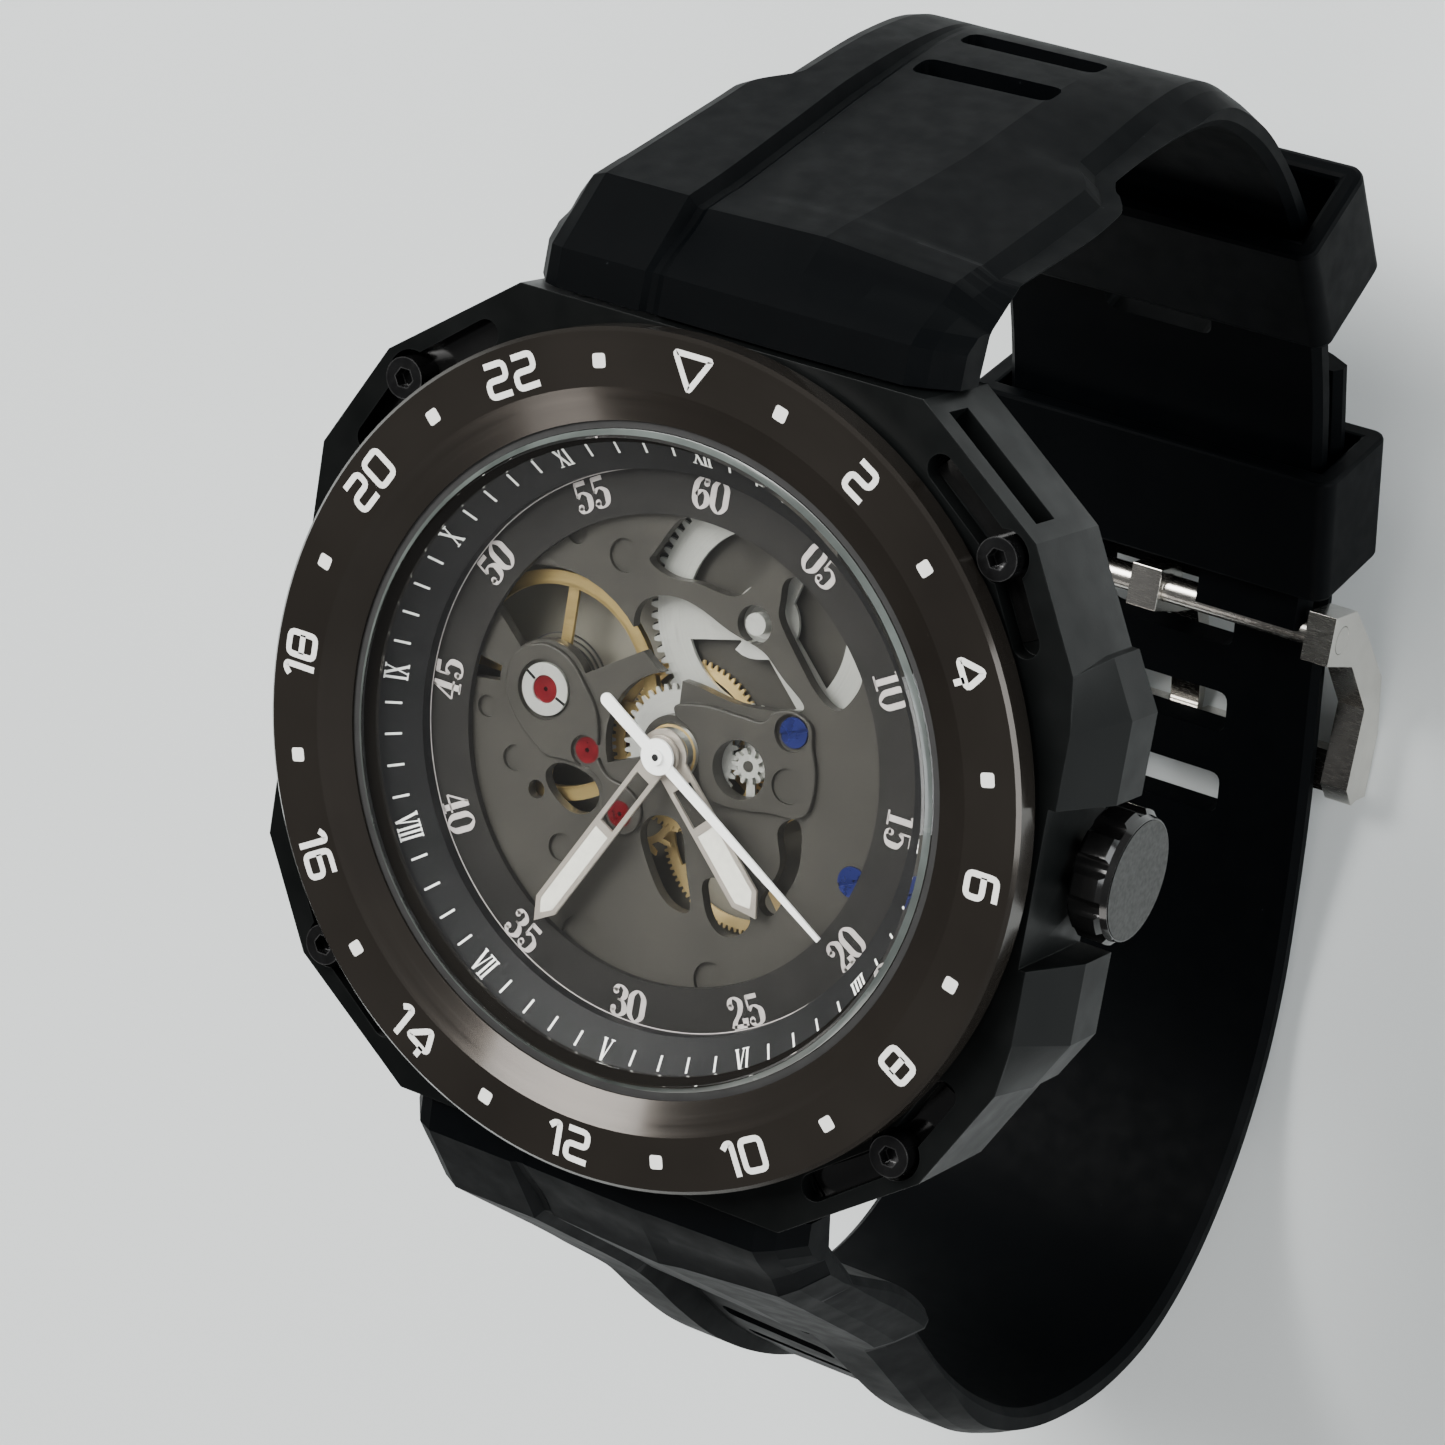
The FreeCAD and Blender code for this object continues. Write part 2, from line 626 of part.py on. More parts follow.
def make_barrel():
    """The mainspring barrel, its arbor and the spring inside it."""
    gap = span(0, 0, d.barrel_x, d.barrel_y)
    teeth, leaves = count(d.barrel_teeth), count(d.centre_leaves)
    module = 2 * gap / (teeth + leaves)
    low, high = number(d.drum_low), number(d.drum_high)
    towards = heading(d.barrel_x, d.barrel_y, 0, 0)
    drum = wheel_shape(teeth, module, towards, 0.35, 0.6)
    drum = drum.fuse(disc(number(d.drum_rad), high - low))
    drum = drum.cut(disc(6.45, high - low - 0.3, 0.15)).cut(disc(0.58, high - low))
    keep(in_movement("Barrel", drum.removeSplitter(), d.barrel_x, d.barrel_y, low), "mainspring_barrel")
    turns = 5.5
    inner, outer, wall = 1.25, 6.2, 0.16
    spring = spiral_shape(inner, outer, turns, wall, high - low - 0.42)
    keep(in_movement("Mainspring", spring, d.barrel_x, d.barrel_y, low + 0.2), "mainspring")
    arbor = arbor_shape([(2.6, 3.0, 0.3), (3.0, 5.0, 0.55), (5.0, 5.2, 0.55), (5.2, 5.35, 0.9)])
    keep(in_movement("BarrelArbor", arbor, d.barrel_x, d.barrel_y, 0), "barrel_arbor")
    return module


def spiral_shape(inner, outer, turns, wall, height):
    """A flat coiled strip between two radii."""
    steps = int(turns * 16)
    sides = ([], [])
    for i in range(steps + 1):
        radius = inner + (outer - inner) * i / steps
        for side, offset in zip(sides, (-wall / 2, wall / 2)):
            x, y = polar(radius + offset, 360.0 * turns * i / steps)
            side.append(FreeCAD.Vector(x, y, 0))
    curves = []
    for side in (sides[0], sides[1][::-1]):
        curve = Part.BSplineCurve()
        curve.interpolate(side)
        curves.append(curve.toShape())
    pairs = ((sides[0][-1], sides[1][-1]), (sides[1][0], sides[0][0]))
    ends = [Part.LineSegment(a, b).toShape() for a, b in pairs]
    wire = Part.Wire([curves[0], ends[0], curves[1], ends[1]])
    return Part.Face(wire).extrude(FreeCAD.Vector(0, 0, height))


def make_train():
    centre_gap = span(0, 0, d.barrel_x, d.barrel_y)
    centre_module = 2 * centre_gap / (count(d.barrel_teeth) + count(d.centre_leaves))
    from_barrel = heading(0, 0, d.barrel_x, d.barrel_y)
    third_gap = span(0, 0, d.third_x, d.third_y)
    to_third = heading(0, 0, d.third_x, d.third_y)
    third_module = 2 * third_gap / (count(d.centre_teeth) + count(d.third_leaves))
    fourth_module = 2 * third_gap / (count(d.third_teeth) + count(d.fourth_leaves))
    escape_gap = span(0, 0, d.escape_x, d.escape_y)
    to_escape = heading(0, 0, d.escape_x, d.escape_y)
    escape_module = 2 * escape_gap / (count(d.fourth_teeth) + count(d.escape_leaves))

    centre_bore = 0.17
    leaves = count(d.centre_leaves)
    pinion = wheel_shape(leaves, centre_module, from_barrel + 180 / leaves, 0.42, centre_bore)
    pinion.translate(FreeCAD.Vector(0, 0, 3.66))
    wheel = wheel_shape(count(d.centre_teeth), third_module, to_third, 0.15, centre_bore, 0.5, 1.0, 5, 0.45)
    wheel.translate(FreeCAD.Vector(0, 0, 4.75))
    post = arbor_shape([(3.66, 4.75, 0.42), (4.75, 7.3, 0.42)], centre_bore)
    keep(in_movement("CentreWheel", pinion.fuse(wheel).fuse(post).removeSplitter()), "centre_wheel")

    third = wheel_shape(count(d.third_teeth), fourth_module, to_third + 180, 0.15, 0.2, 0.55, 0.9, 4, 0.5)
    keep(in_movement("ThirdWheel", third, d.third_x, d.third_y, 3.4), "third_wheel")
    leaves = count(d.third_leaves)
    pinion = wheel_shape(leaves, third_module, to_third + 180 + 180 / leaves, 0.35, 0.15)
    pinion.translate(FreeCAD.Vector(0, 0, 4.65))
    shaft = arbor_shape(pivot_steps(2.6, 6.1, 0.2))
    joined = pinion.fuse(shaft).removeSplitter()
    keep(in_movement("ThirdPinion", joined, d.third_x, d.third_y, 0), "third_pinion")

    wheel = wheel_shape(count(d.fourth_teeth), escape_module, to_escape, 0.15, 0.14, 0.45, 0.8, 4, 0.4)
    keep(in_movement("FourthWheel", wheel, 0, 0, 3.1), "fourth_wheel")
    leaves = count(d.fourth_leaves)
    pinion = wheel_shape(leaves, fourth_module, to_third + 180 / leaves, 0.3, 0.1)
    pinion.translate(FreeCAD.Vector(0, 0, 3.32))
    shaft = arbor_shape([(2.6, 2.98, number(d.pivot_rad)), (2.98, level(d.second_low) + 0.1, 0.14)])
    keep(in_movement("FourthPinion", pinion.fuse(shaft).removeSplitter()), "fourth_pinion")

    leaves = count(d.escape_leaves)
    pinion = wheel_shape(leaves, escape_module, to_escape + 180 + 180 / leaves, 0.4, 0.1)
    pinion.translate(FreeCAD.Vector(0, 0, 3.0))
    shaft = arbor_shape(pivot_steps(2.6, 6.1, 0.15))
    joined = pinion.fuse(shaft).removeSplitter()
    keep(in_movement("EscapePinion", joined, d.escape_x, d.escape_y, 0), "escape_pinion")
    keep(in_movement("EscapeWheel", escape_shape(0.15), d.escape_x, d.escape_y, 4.2), "escape_wheel")


def escape_shape(thickness):
    """The escape wheel, with raked club teeth."""
    teeth = count(d.escape_teeth)
    outer = number(d.escape_rad)
    root = outer - 0.62
    step = 360.0 / teeth
    points = []
    for i in range(teeth):
        at = i * step
        points += [polar(root, at), polar(outer - 0.18, at + 0.36 * step), polar(outer, at + 0.50 * step)]
        points += [polar(outer - 0.2, at + 0.62 * step), polar(root, at + 0.42 * step)]
    shape = flat_shape(points, thickness)
    shape = shape.cut(windows(root - 0.4, 0.55, 4, 0.3, thickness))
    return shape.cut(disc(0.15, thickness))


def make_escapement():
    """The pallet fork and the balance with its spring."""
    to_balance = heading(d.fork_x, d.fork_y, d.balance_x, d.balance_y)
    to_escape = heading(d.fork_x, d.fork_y, d.escape_x, d.escape_y)
    reach = span(d.fork_x, d.fork_y, d.balance_x, d.balance_y)
    arms = []
    lever_tip = reach - 1.15
    arms.append(bar_shape(0, lever_tip, to_balance, 0.34, 0.18))
    for side in (-1, 1):
        x, y = polar(lever_tip - 0.1, to_balance)
        horn = bar_shape(0, 0.4, to_balance + side * 55, 0.16, 0.18)
        horn.translate(FreeCAD.Vector(x, y, 0))
        arms.append(horn)
        arms.append(bar_shape(0, 1.9, to_escape + side * 78, 0.42, 0.18))
    lever = disc(0.5, 0.18).fuse(arms)
    lever.translate(FreeCAD.Vector(0, 0, 4.2))
    shape = lever.fuse(arbor_shape(pivot_steps(2.6, 6.1, 0.12)))
    keep(in_movement("PalletFork", shape.removeSplitter(), d.fork_x, d.fork_y, 0), "pallet_fork")

    rim = disc(number(d.balance_rad), 0.42).cut(disc(number(d.balance_rad) - number(d.balance_rim), 0.42))
    reach_in = number(d.balance_rad) - 0.2
    arm_set = [bar_shape(-reach_in, reach_in, angle, 0.62, 0.2) for angle in (0, 90)]
    shape = rim.fuse(arm_set).fuse(disc(0.8, 0.2)).cut(disc(0.2, 0.42))
    keep(in_movement("BalanceWheel", shape.removeSplitter(), d.balance_x, d.balance_y, 5.0), "balance_wheel")
    staff = arbor_shape(pivot_steps(2.6, 6.1, 0.2) + [(4.45, 4.6, number(d.roller_rad))])
    x, y = polar(0.85, to_balance + 180)
    pin = Part.makeCylinder(0.13, 0.5, FreeCAD.Vector(x, y, 4.15))
    joined = staff.fuse(pin).removeSplitter()
    keep(in_movement("BalanceStaff", joined, d.balance_x, d.balance_y, 0), "balance_staff")
    spring = spiral_shape(0.55, 2.9, 8, 0.06, 0.14)
    keep(in_movement("Hairspring", spring, d.balance_x, d.balance_y, 4.68), "hairspring")


def bar_shape(start, end, angle, wide, thickness):
    """A flat bar on a line through the origin."""
    bar = Part.makeBox(end - start, wide, thickness, FreeCAD.Vector(start, -wide / 2, 0))
    bar.rotate(FreeCAD.Vector(0, 0, 0), FreeCAD.Vector(0, 0, 1), angle)
    return bar


def make_motion_work():
    """The gears that drive the hour hand from the minute hand."""
    gap = span(0, 0, d.minute_x, d.minute_y)
    towards = heading(0, 0, d.minute_x, d.minute_y)
    first = 2 * gap / (count(d.cannon_leaves) + count(d.minute_teeth))
    second = 2 * gap / (count(d.minute_leaves) + count(d.hour_teeth))
    cannon = wheel_shape(count(d.cannon_leaves), first, towards, 0.15, 0.42)
    cannon.translate(FreeCAD.Vector(0, 0, 5.3))
    pipe = arbor_shape([(5.3, level(d.minute_low + d.hand_thick), 0.6)], 0.42)
    keep(in_movement("CannonPinion", cannon.fuse(pipe).removeSplitter()), "cannon_pinion")
    teeth = count(d.minute_teeth)
    wheel = wheel_shape(teeth, first, towards + 180 + 180 / teeth, 0.15, 0.3, 0.6, 0.95, 4, 0.5)
    leaves = count(d.minute_leaves)
    pinion = wheel_shape(leaves, second, towards + 180, 0.45, 0.3)
    shape = wheel.fuse(pinion).removeSplitter()
    keep(in_movement("MinuteWheel", shape, d.minute_x, d.minute_y, 5.3), "minute_wheel")
    teeth = count(d.hour_teeth)
    wheel = wheel_shape(teeth, second, towards + 180 / teeth, 0.13, 0.63)
    wheel.translate(FreeCAD.Vector(0, 0, 5.52))
    pipe = arbor_shape([(5.52, level(d.hour_low + d.hand_thick), 0.88)], 0.63)
    keep(in_movement("HourWheel", wheel.fuse(pipe).removeSplitter()), "hour_wheel")


# ------------------------------------------------------------------ plates
def wheel_axes():
    """Where the third wheel, escape wheel, pallet fork and balance turn."""
    return [
        (d.third_x, d.third_y), (d.escape_x, d.escape_y), (d.fork_x, d.fork_y), (d.balance_x, d.balance_y),
    ]


def make_main_plate():
    wheel_post = arbor_shape([(2.9, 4.97, 0.6), (4.97, 5.3, 0.39)])
    click_post = arbor_shape([(2.9, 4.97, 0.6), (4.97, 5.3, 0.37)])
    solids = [
        turn("MainDisc", ring_profile(0, d.plate_rad, d.main_low, d.main_top)),
        in_movement("CrownWheelPost", wheel_post, d.crown_wheel_x, d.crown_wheel_y),
        in_movement("ClickPost", click_post, d.click_x, d.click_y),
    ]
    base = fuse("MainSolid", solids)
    tools = [box("StemRoom", 8, 3.8, 2, 14.0, 0, d.main_low - 0.5)]
    for i, (x, y) in enumerate(wheel_axes() + [(0, 0)]):
        tools.append(cylinder(f"LowerJewelSeat{i}", 0.5, 2, x, y, d.main_low - 0.5))
    tools.append(cylinder("BarrelPivotHole", 0.33, 2, d.barrel_x, d.barrel_y, d.main_low - 0.5))
    keep(cut("MainPlate", base, tools), "main_plate")


def make_train_bridge():
    """The bar over the centre wheel, which carries the minute wheel's post."""
    aim = heading(0, 0, d.minute_x, d.minute_y)
    slab = bar_shape(0, span(0, 0, d.minute_x, d.minute_y) + 3.0, aim, 1.1, 0.2)
    foot = polar(6.95, aim - 1)
    shape = slab.fuse(disc(0.9, 0.2))
    shape.translate(FreeCAD.Vector(0, 0, 4.98))
    post = arbor_shape([(5.1, 5.27, 0.5), (5.27, 5.72, 0.27)])
    post.translate(FreeCAD.Vector(number(d.minute_x), number(d.minute_y), 0))
    pillar = disc(0.42, 5.18 - level(d.main_top), level(d.main_top))
    pillar.translate(FreeCAD.Vector(foot[0], foot[1], 0))
    shape = shape.fuse([post, pillar]).cut(disc(0.44, 1, 4.8))
    keep(in_movement("TrainBridge", shape.removeSplitter()), "train_bridge")


def jewel(name, x, y, radius, low, high):
    hole = d.pivot_rad + d.pivot_play
    body = turn(name, ring_profile(hole, radius, low, high))
    return place(body, x, y, 0)


def make_jewels():
    """Ring jewels for the train's pivots, in both plates."""
    jewels = []
    for i, (x, y) in enumerate(wheel_axes() + [(0, 0)]):
        jewels.append(jewel(f"LowerJewel{i}", x, y, 0.5, d.main_low, d.main_top))
    for i, (x, y) in enumerate(wheel_axes()[:3]):
        jewels.append(jewel(f"UpperJewel{i}", x, y, 0.7, d.bridge_low, d.bridge_top))
    jewels.append(jewel("BalanceJewel", d.balance_x, d.balance_y, 0.75, d.bridge_low, d.bridge_top + 0.1))
    keep(group("Jewels", jewels), "jewels")
    setting = turn("Setting", ring_profile(0.75, 1.4, d.bridge_low + 0.1, d.bridge_top + 0.2))
    keep(place(setting, d.balance_x, d.balance_y, 0), "balance_setting")


def arc_window(name, x, y, inner, outer, start, end):
    """A window between two arcs about (x, y), from one angle to another."""
    points = [polar(outer, start + (end - start) * i / 12) for i in range(13)]
    points += [polar(inner, end - (end - start) * i / 12) for i in range(13)] if inner else [(0.0, 0.0)]
    return feature(name, flat_shape(points, 3), x, y, number(d.bridge_low) - 1)


def smooth_window(outline, high=3):
    """A window with one smooth closed outline through the given places."""
    curve = Part.BSplineCurve()
    curve.interpolate([FreeCAD.Vector(x, y, 0) for x, y in outline], PeriodicFlag=True)
    return Part.Face(Part.Wire([curve.toShape()])).extrude(FreeCAD.Vector(0, 0, high))


# Places round the outline of each window in the skeleton plate.
PLATE_WINDOWS = {
    "RatchetNorth": (
        (-3.14, 9.53), (-2.5, 10.75), (-1.6, 12.0), (0.5, 12.2), (2.4, 12.1), (3.75, 11.4), (3.1, 9.9),
        (2.3, 9.0), (-0.2, 8.95), (-2.5, 8.98),
    ),
    "RatchetEast": (
        (4.65, 9.77), (5.0, 10.7), (5.9, 10.8), (7.6, 9.5), (9.3, 8.1), (9.95, 6.9), (9.6, 5.6),
        (8.84, 4.8), (7.9, 5.1), (6.5, 6.4), (5.46, 7.56), (4.7, 8.7),
    ),
    "RatchetWest": (
        (-3.5, 5.8), (-3.2, 7.1), (-1.5, 7.9), (0.6, 7.6), (2.3, 7.0), (4.3, 6.5), (5.6, 5.5),
        (7.0, 4.4), (5.0, 3.7), (2.8, 3.5), (0.5, 3.75), (-1.6, 3.95), (-2.7, 4.7),
    ),
    "EscapeRoom": (
        (-7.2, -3.1), (-6.6, -2.6), (-5.5, -2.55), (-4.5, -2.8), (-3.9, -3.6), (-4.1, -4.4),
        (-5.1, -4.95), (-6.3, -4.6), (-7.1, -3.9),
    ),
    "ThirdWest": (
        (-1.1, -4.3), (-0.4, -3.6), (0.9, -3.6), (1.6, -4.9), (2.05, -6.4), (2.3, -8.1), (1.4, -8.1),
        (-0.1, -6.8), (-0.9, -5.5),
    ),
    "ThirdSouth": (
        (3.1, -6.0), (3.8, -5.75), (5.0, -6.4), (6.0, -7.3), (5.7, -8.1), (4.4, -8.6), (3.5, -7.9),
        (3.05, -6.9),
    ),
    "ThirdEast": (
        (7.1, -1.6), (7.7, -1.4), (8.2, -2.6), (8.2, -4.2), (7.7, -5.6), (6.9, -6.8), (6.4, -6.5),
        (6.7, -5.3), (7.1, -3.6),
    ),
}
PLATE_SCREWS = ((6.7, 3.02), (11.35, -3.55), (-12.2, -9.4))


def make_skeleton_plate():
    """The pierced top plate of the movement, seen inside the dial ring."""
    base = turn("SkeletonDisc", ring_profile(0, d.plate_rad, d.bridge_low, d.bridge_top))
    low = d.bridge_low - 1
    barrel = (d.barrel_x, d.barrel_y)
    balance = (d.balance_x, d.balance_y)
    tools = [
        cylinder("CentreRoom", 1.5, 3, 0, 0, low),
        cylinder("MinuteRoom", 1.55, 3, d.minute_x, d.minute_y, low),
        arc_window("BalanceNorth", *balance, 2.6, 6.5, 34, 138),
        arc_window("BalanceWest", *balance, 2.9, 6.5, 172, 188),
        arc_window("CentreNorth", 0, 0, 1.9, 4.1, 92, 205),
        cylinder("LeverPeep", 0.5, 3, -7.7, -4.4, low),
    ]
    for name, outline in PLATE_WINDOWS.items():
        tools.append(feature(name, smooth_window(outline), 0, 0, low))
    for i, (x, y) in enumerate(wheel_axes()[:3]):
        tools.append(cylinder(f"UpperJewelSeat{i}", 0.7, 3, x, y, low))
    tools.append(cylinder("BalanceJewelSeat", 0.75, 3, *balance, low))
    tools.append(cylinder("SettingSeat", 1.4, 3, *balance, d.bridge_low + 0.1))
    tools.append(cylinder("RatchetScrewRoom", 1.0, 3, *barrel, low))
    for i, (x, y) in enumerate(PLATE_SCREWS):
        tools.append(cylinder(f"PlateScrewSeat{i}", 0.45, 3, x, y, low))
        tools.append(cylinder(f"PlateScrewSink{i}", 0.82, 1, x, y, d.bridge_top - 0.17))
    keep(cut("SkeletonPlate", base, tools), "skeleton_plate")


def make_plate_screws():
    screws = []
    for i, (x, y) in enumerate(PLATE_SCREWS):
        head = cylinder(f"PlateScrewHead{i}", 0.8, 0.25, x, y, d.bridge_top - 0.17)
        shank = cylinder(f"PlateScrewShank{i}", 0.4, 0.62, x, y, d.bridge_top - 0.62)
        slot = box(f"PlateScrewSlot{i}", 2, 0.2, 1, x, y, d.bridge_top - 0.04, 25)
        screws.append(cut(f"PlateScrew{i}", fuse(f"PlateScrewSolid{i}", [head, shank]), [slot]))
    keep(group("PlateScrews", screws), "plate_screws")
    keep(cylinder("BarrelScrew", 0.58, 0.95, d.barrel_x, d.barrel_y, d.lift + 5.35), "ratchet_screw")


def make_rotor():
    """The half-disc winding weight behind the movement, on a ball bearing."""
    rim = number(d.rotor_rad)
    web = disc(rim, 0.18, 1.55).fuse(disc(rim, 0.5, 1.45).cut(disc(rim - 2.2, 0.5, 1.45)))
    half = Part.makeBox(2 * rim + 2, rim + 1, 2, FreeCAD.Vector(-rim - 1, -rim - 1, 0.6))
    web = web.common(half).fuse(disc(2.6, 0.35, 1.5)).cut(disc(1.45, 2, 0.5))
    keep(feature("Rotor", web.removeSplitter()), "rotor")
    keep(feature("RotorBearing", arbor_shape([(1.5, 1.85, 1.41)], 0.45)), "rotor_bearing")
    screw = arbor_shape([(1.3, 1.5, 0.85), (1.5, number(d.main_low), 0.43)])
    keep(feature("RotorScrew", screw), "rotor_screw")


# ------------------------------------------------------------------ hands
def hand_outline(long, wide, tail, point):
    half = wide / 2
    return [(-tail, -half), (long - point, -half), (long, 0), (long - point, half), (-tail, half)]


def make_hand(name, label, long, wide, at, low, hub, bore):
    """A pencil-shaped hand with an open inner half and a framed lume strip."""
    long, wide, low = number(long), number(wide), number(low)
    thick = number(d.hand_thick)
    frame = 0.26
    point = 1.15
    body = flat_shape(hand_outline(long, wide, 0.0, point), thick).fuse(disc(hub, thick))
    inner_start, inner_end = hub + 0.55, long * 0.42
    inside = wide / 2 - frame
    opening = flat_shape(
        [(inner_start, -inside), (inner_end, -inside), (inner_end, inside), (inner_start, inside)], thick
    )
    lume_start = inner_end + 0.45
    lume_end = long - point - 0.1
    lume_points = [
        (lume_start, -inside), (lume_end, -inside), (long - 0.6, 0), (lume_end, inside), (lume_start, inside),
    ]
    body = body.cut(opening).cut(flat_shape(lume_points, thick)).cut(disc(bore, thick))
    lume = flat_shape(lume_points, thick - 0.02)
    rotation = FreeCAD.Rotation(FreeCAD.Vector(0, 0, 1), 90 - number(at))
    keep(feature(name, body.removeSplitter(), 0, 0, low, rotation), label)
    keep(feature(name + "Lume", lume, 0, 0, low, rotation), label + "_lume")


def make_hands():
    make_hand("HourHand", "hour_hand", d.hour_long, d.hour_wide, d.hour_at, d.hour_low, 1.35, 0.88)
    make_hand("MinuteHand", "minute_hand", d.minute_long, d.minute_wide, d.minute_at, d.minute_low, 1.05, 0.6)
    long, tail = number(d.second_long), number(d.second_tail)
    needle = flat_shape([(-tail, -0.36), (long, -0.14), (long, 0.14), (-tail, 0.36)], 0.12)
    tip = Part.makeCylinder(0.36, 0.12, FreeCAD.Vector(-tail, 0, 0))
    shape = needle.fuse(tip).fuse(disc(0.95, 0.14)).fuse(disc(0.4, 0.3)).cut(disc(0.14, 0.1))
    rotation = FreeCAD.Rotation(FreeCAD.Vector(0, 0, 1), 90 - number(d.second_at))
    keep(feature("SecondHand", shape.removeSplitter(), 0, 0, d.second_low, rotation), "second_hand")


# ------------------------------------------------------------------ strap
# Outlines of the strap's two halves in the YZ plane, from the case end.
UPPER_OUTER = [
    (22.15, 9.5), (24.2, 9.4), (27.8, 6.3), (31.0, -4.5), (32.9, -10.5), (34.4, -16.5), (34.9, -22.0),
    (33.5, -27.2), (31.2, -31.4), (28.0, -35.6), (23.4, -40.2), (17.8, -43.7), (12.4, -46.1),
    (6.0, -48.0), (0.4, -49.0),
]
UPPER_INNER = [
    (22.15, 4.7), (24.6, 4.4), (26.6, 2.2), (28.3, -5.0), (30.6, -10.8), (32.2, -16.4), (32.8, -21.4),
    (31.7, -26.0), (29.6, -30.2), (26.4, -34.2), (21.9, -38.6), (16.7, -41.8), (11.6, -44.1),
    (5.5, -46.0), (0.4, -46.6),
]
LOWER_OUTER = [
    (-22.15, 9.5), (-24.0, 9.4), (-28.3, 5.8), (-33.0, -3.0), (-36.0, -8.2), (-39.6, -13.2),
    (-42.6, -17.8), (-45.2, -23.0), (-47.1, -28.4), (-48.0, -34.0), (-47.9, -40.2), (-46.2, -46.0),
    (-42.6, -50.6), (-37.4, -54.0), (-31.3, -56.0), (-25.0, -56.6), (-18.0, -55.9), (-11.0, -54.7),
    (-4.5, -53.1), (2.0, -51.5), (8.0, -49.9), (12.6, -48.4), (17.4, -46.5),
]
LOWER_INNER = [
    (-22.15, 4.7), (-24.2, 4.2), (-27.0, 0.8), (-28.9, -4.2), (-31.4, -8.5), (-35.2, -12.7),
    (-38.9, -17.2), (-42.0, -22.0), (-44.6, -27.6), (-45.8, -33.2), (-45.8, -39.4), (-44.4, -44.6),
    (-41.2, -48.9), (-36.5, -52.0), (-31.0, -53.9), (-25.0, -54.5), (-18.0, -53.9), (-11.2, -52.7),
    (-4.9, -51.2), (1.6, -49.7), (7.5, -48.0), (12.0, -46.6), (16.6, -44.8),
]


def strap_curve(points, straight):
    """Edges through points: straight runs by the case, then one smooth curve."""
    corners = [FreeCAD.Vector(0, y, z) for y, z in points]
    edges = [Part.LineSegment(corners[i], corners[i + 1]).toShape() for i in range(straight)]
    curve = Part.BSplineCurve()
    curve.interpolate(corners[straight:])
    return edges + [curve.toShape()]


def strap_shape(outer, inner, straight, side):
    """One strap half: broad by the case, narrower past its shoulder."""
    first, last = FreeCAD.Vector(0, *outer[0]), FreeCAD.Vector(0, *outer[-1])
    edges = strap_curve(outer, straight)
    back = strap_curve(inner, straight)
    edges.append(Part.LineSegment(last, FreeCAD.Vector(0, *inner[-1])).toShape())
    edges += back
    edges.append(Part.LineSegment(FreeCAD.Vector(0, *inner[0]), first).toShape())
    face = Part.Face(Part.Wire(Part.__sortEdges__(edges)))
    wide, narrow = number(d.strap_wide), number(d.strap_narrow)
    neck = number(d.strap_neck_z)
    broad = face.extrude(FreeCAD.Vector(wide, 0, 0))
    broad.translate(FreeCAD.Vector(-wide / 2, 0, 0))
    room = Part.makeBox(wide, 30, 30, FreeCAD.Vector(-wide / 2, 15 if side > 0 else -45, neck))
    slim = face.extrude(FreeCAD.Vector(narrow, 0, 0))
    slim.translate(FreeCAD.Vector(-narrow / 2, 0, 0))
    return broad.common(room).fuse(slim).removeSplitter()


def curve_through(points):
    curve = Part.BSplineCurve()
    curve.interpolate([FreeCAD.Vector(0, y, z) for y, z in points])
    return curve.toShape()


def across(name, edge, distance, long, wide, high):
    """A block centred across the strap at a distance along its inner curve."""
    at = edge.getParameterByLength(distance)
    point, along = edge.valueAt(at), edge.tangentAt(at)
    lean = math.degrees(math.atan2(along.z, along.y))
    block = Part.makeBox(wide, long, high, FreeCAD.Vector(-wide / 2, -long / 2, -high / 2))
    rotation = FreeCAD.Rotation(FreeCAD.Vector(1, 0, 0), lean)
    return feature(name, block, point.x, point.y, point.z, rotation)


def bar_room(side):
    """The room in a strap end for the case's tongue and its bar."""
    pocket = box(f"LugRoom{side}", d.lug_wide + 0.4, 4.2, 5.7, 0, side * (d.case_end_y + 1.7), 1.9)
    bore = bar_along_x(f"BarRoom{side}", d.bar_rad + d.bar_play, d.bar_long + 0.2, side * d.bar_y, d.bar_z)
    return [pocket, bore]


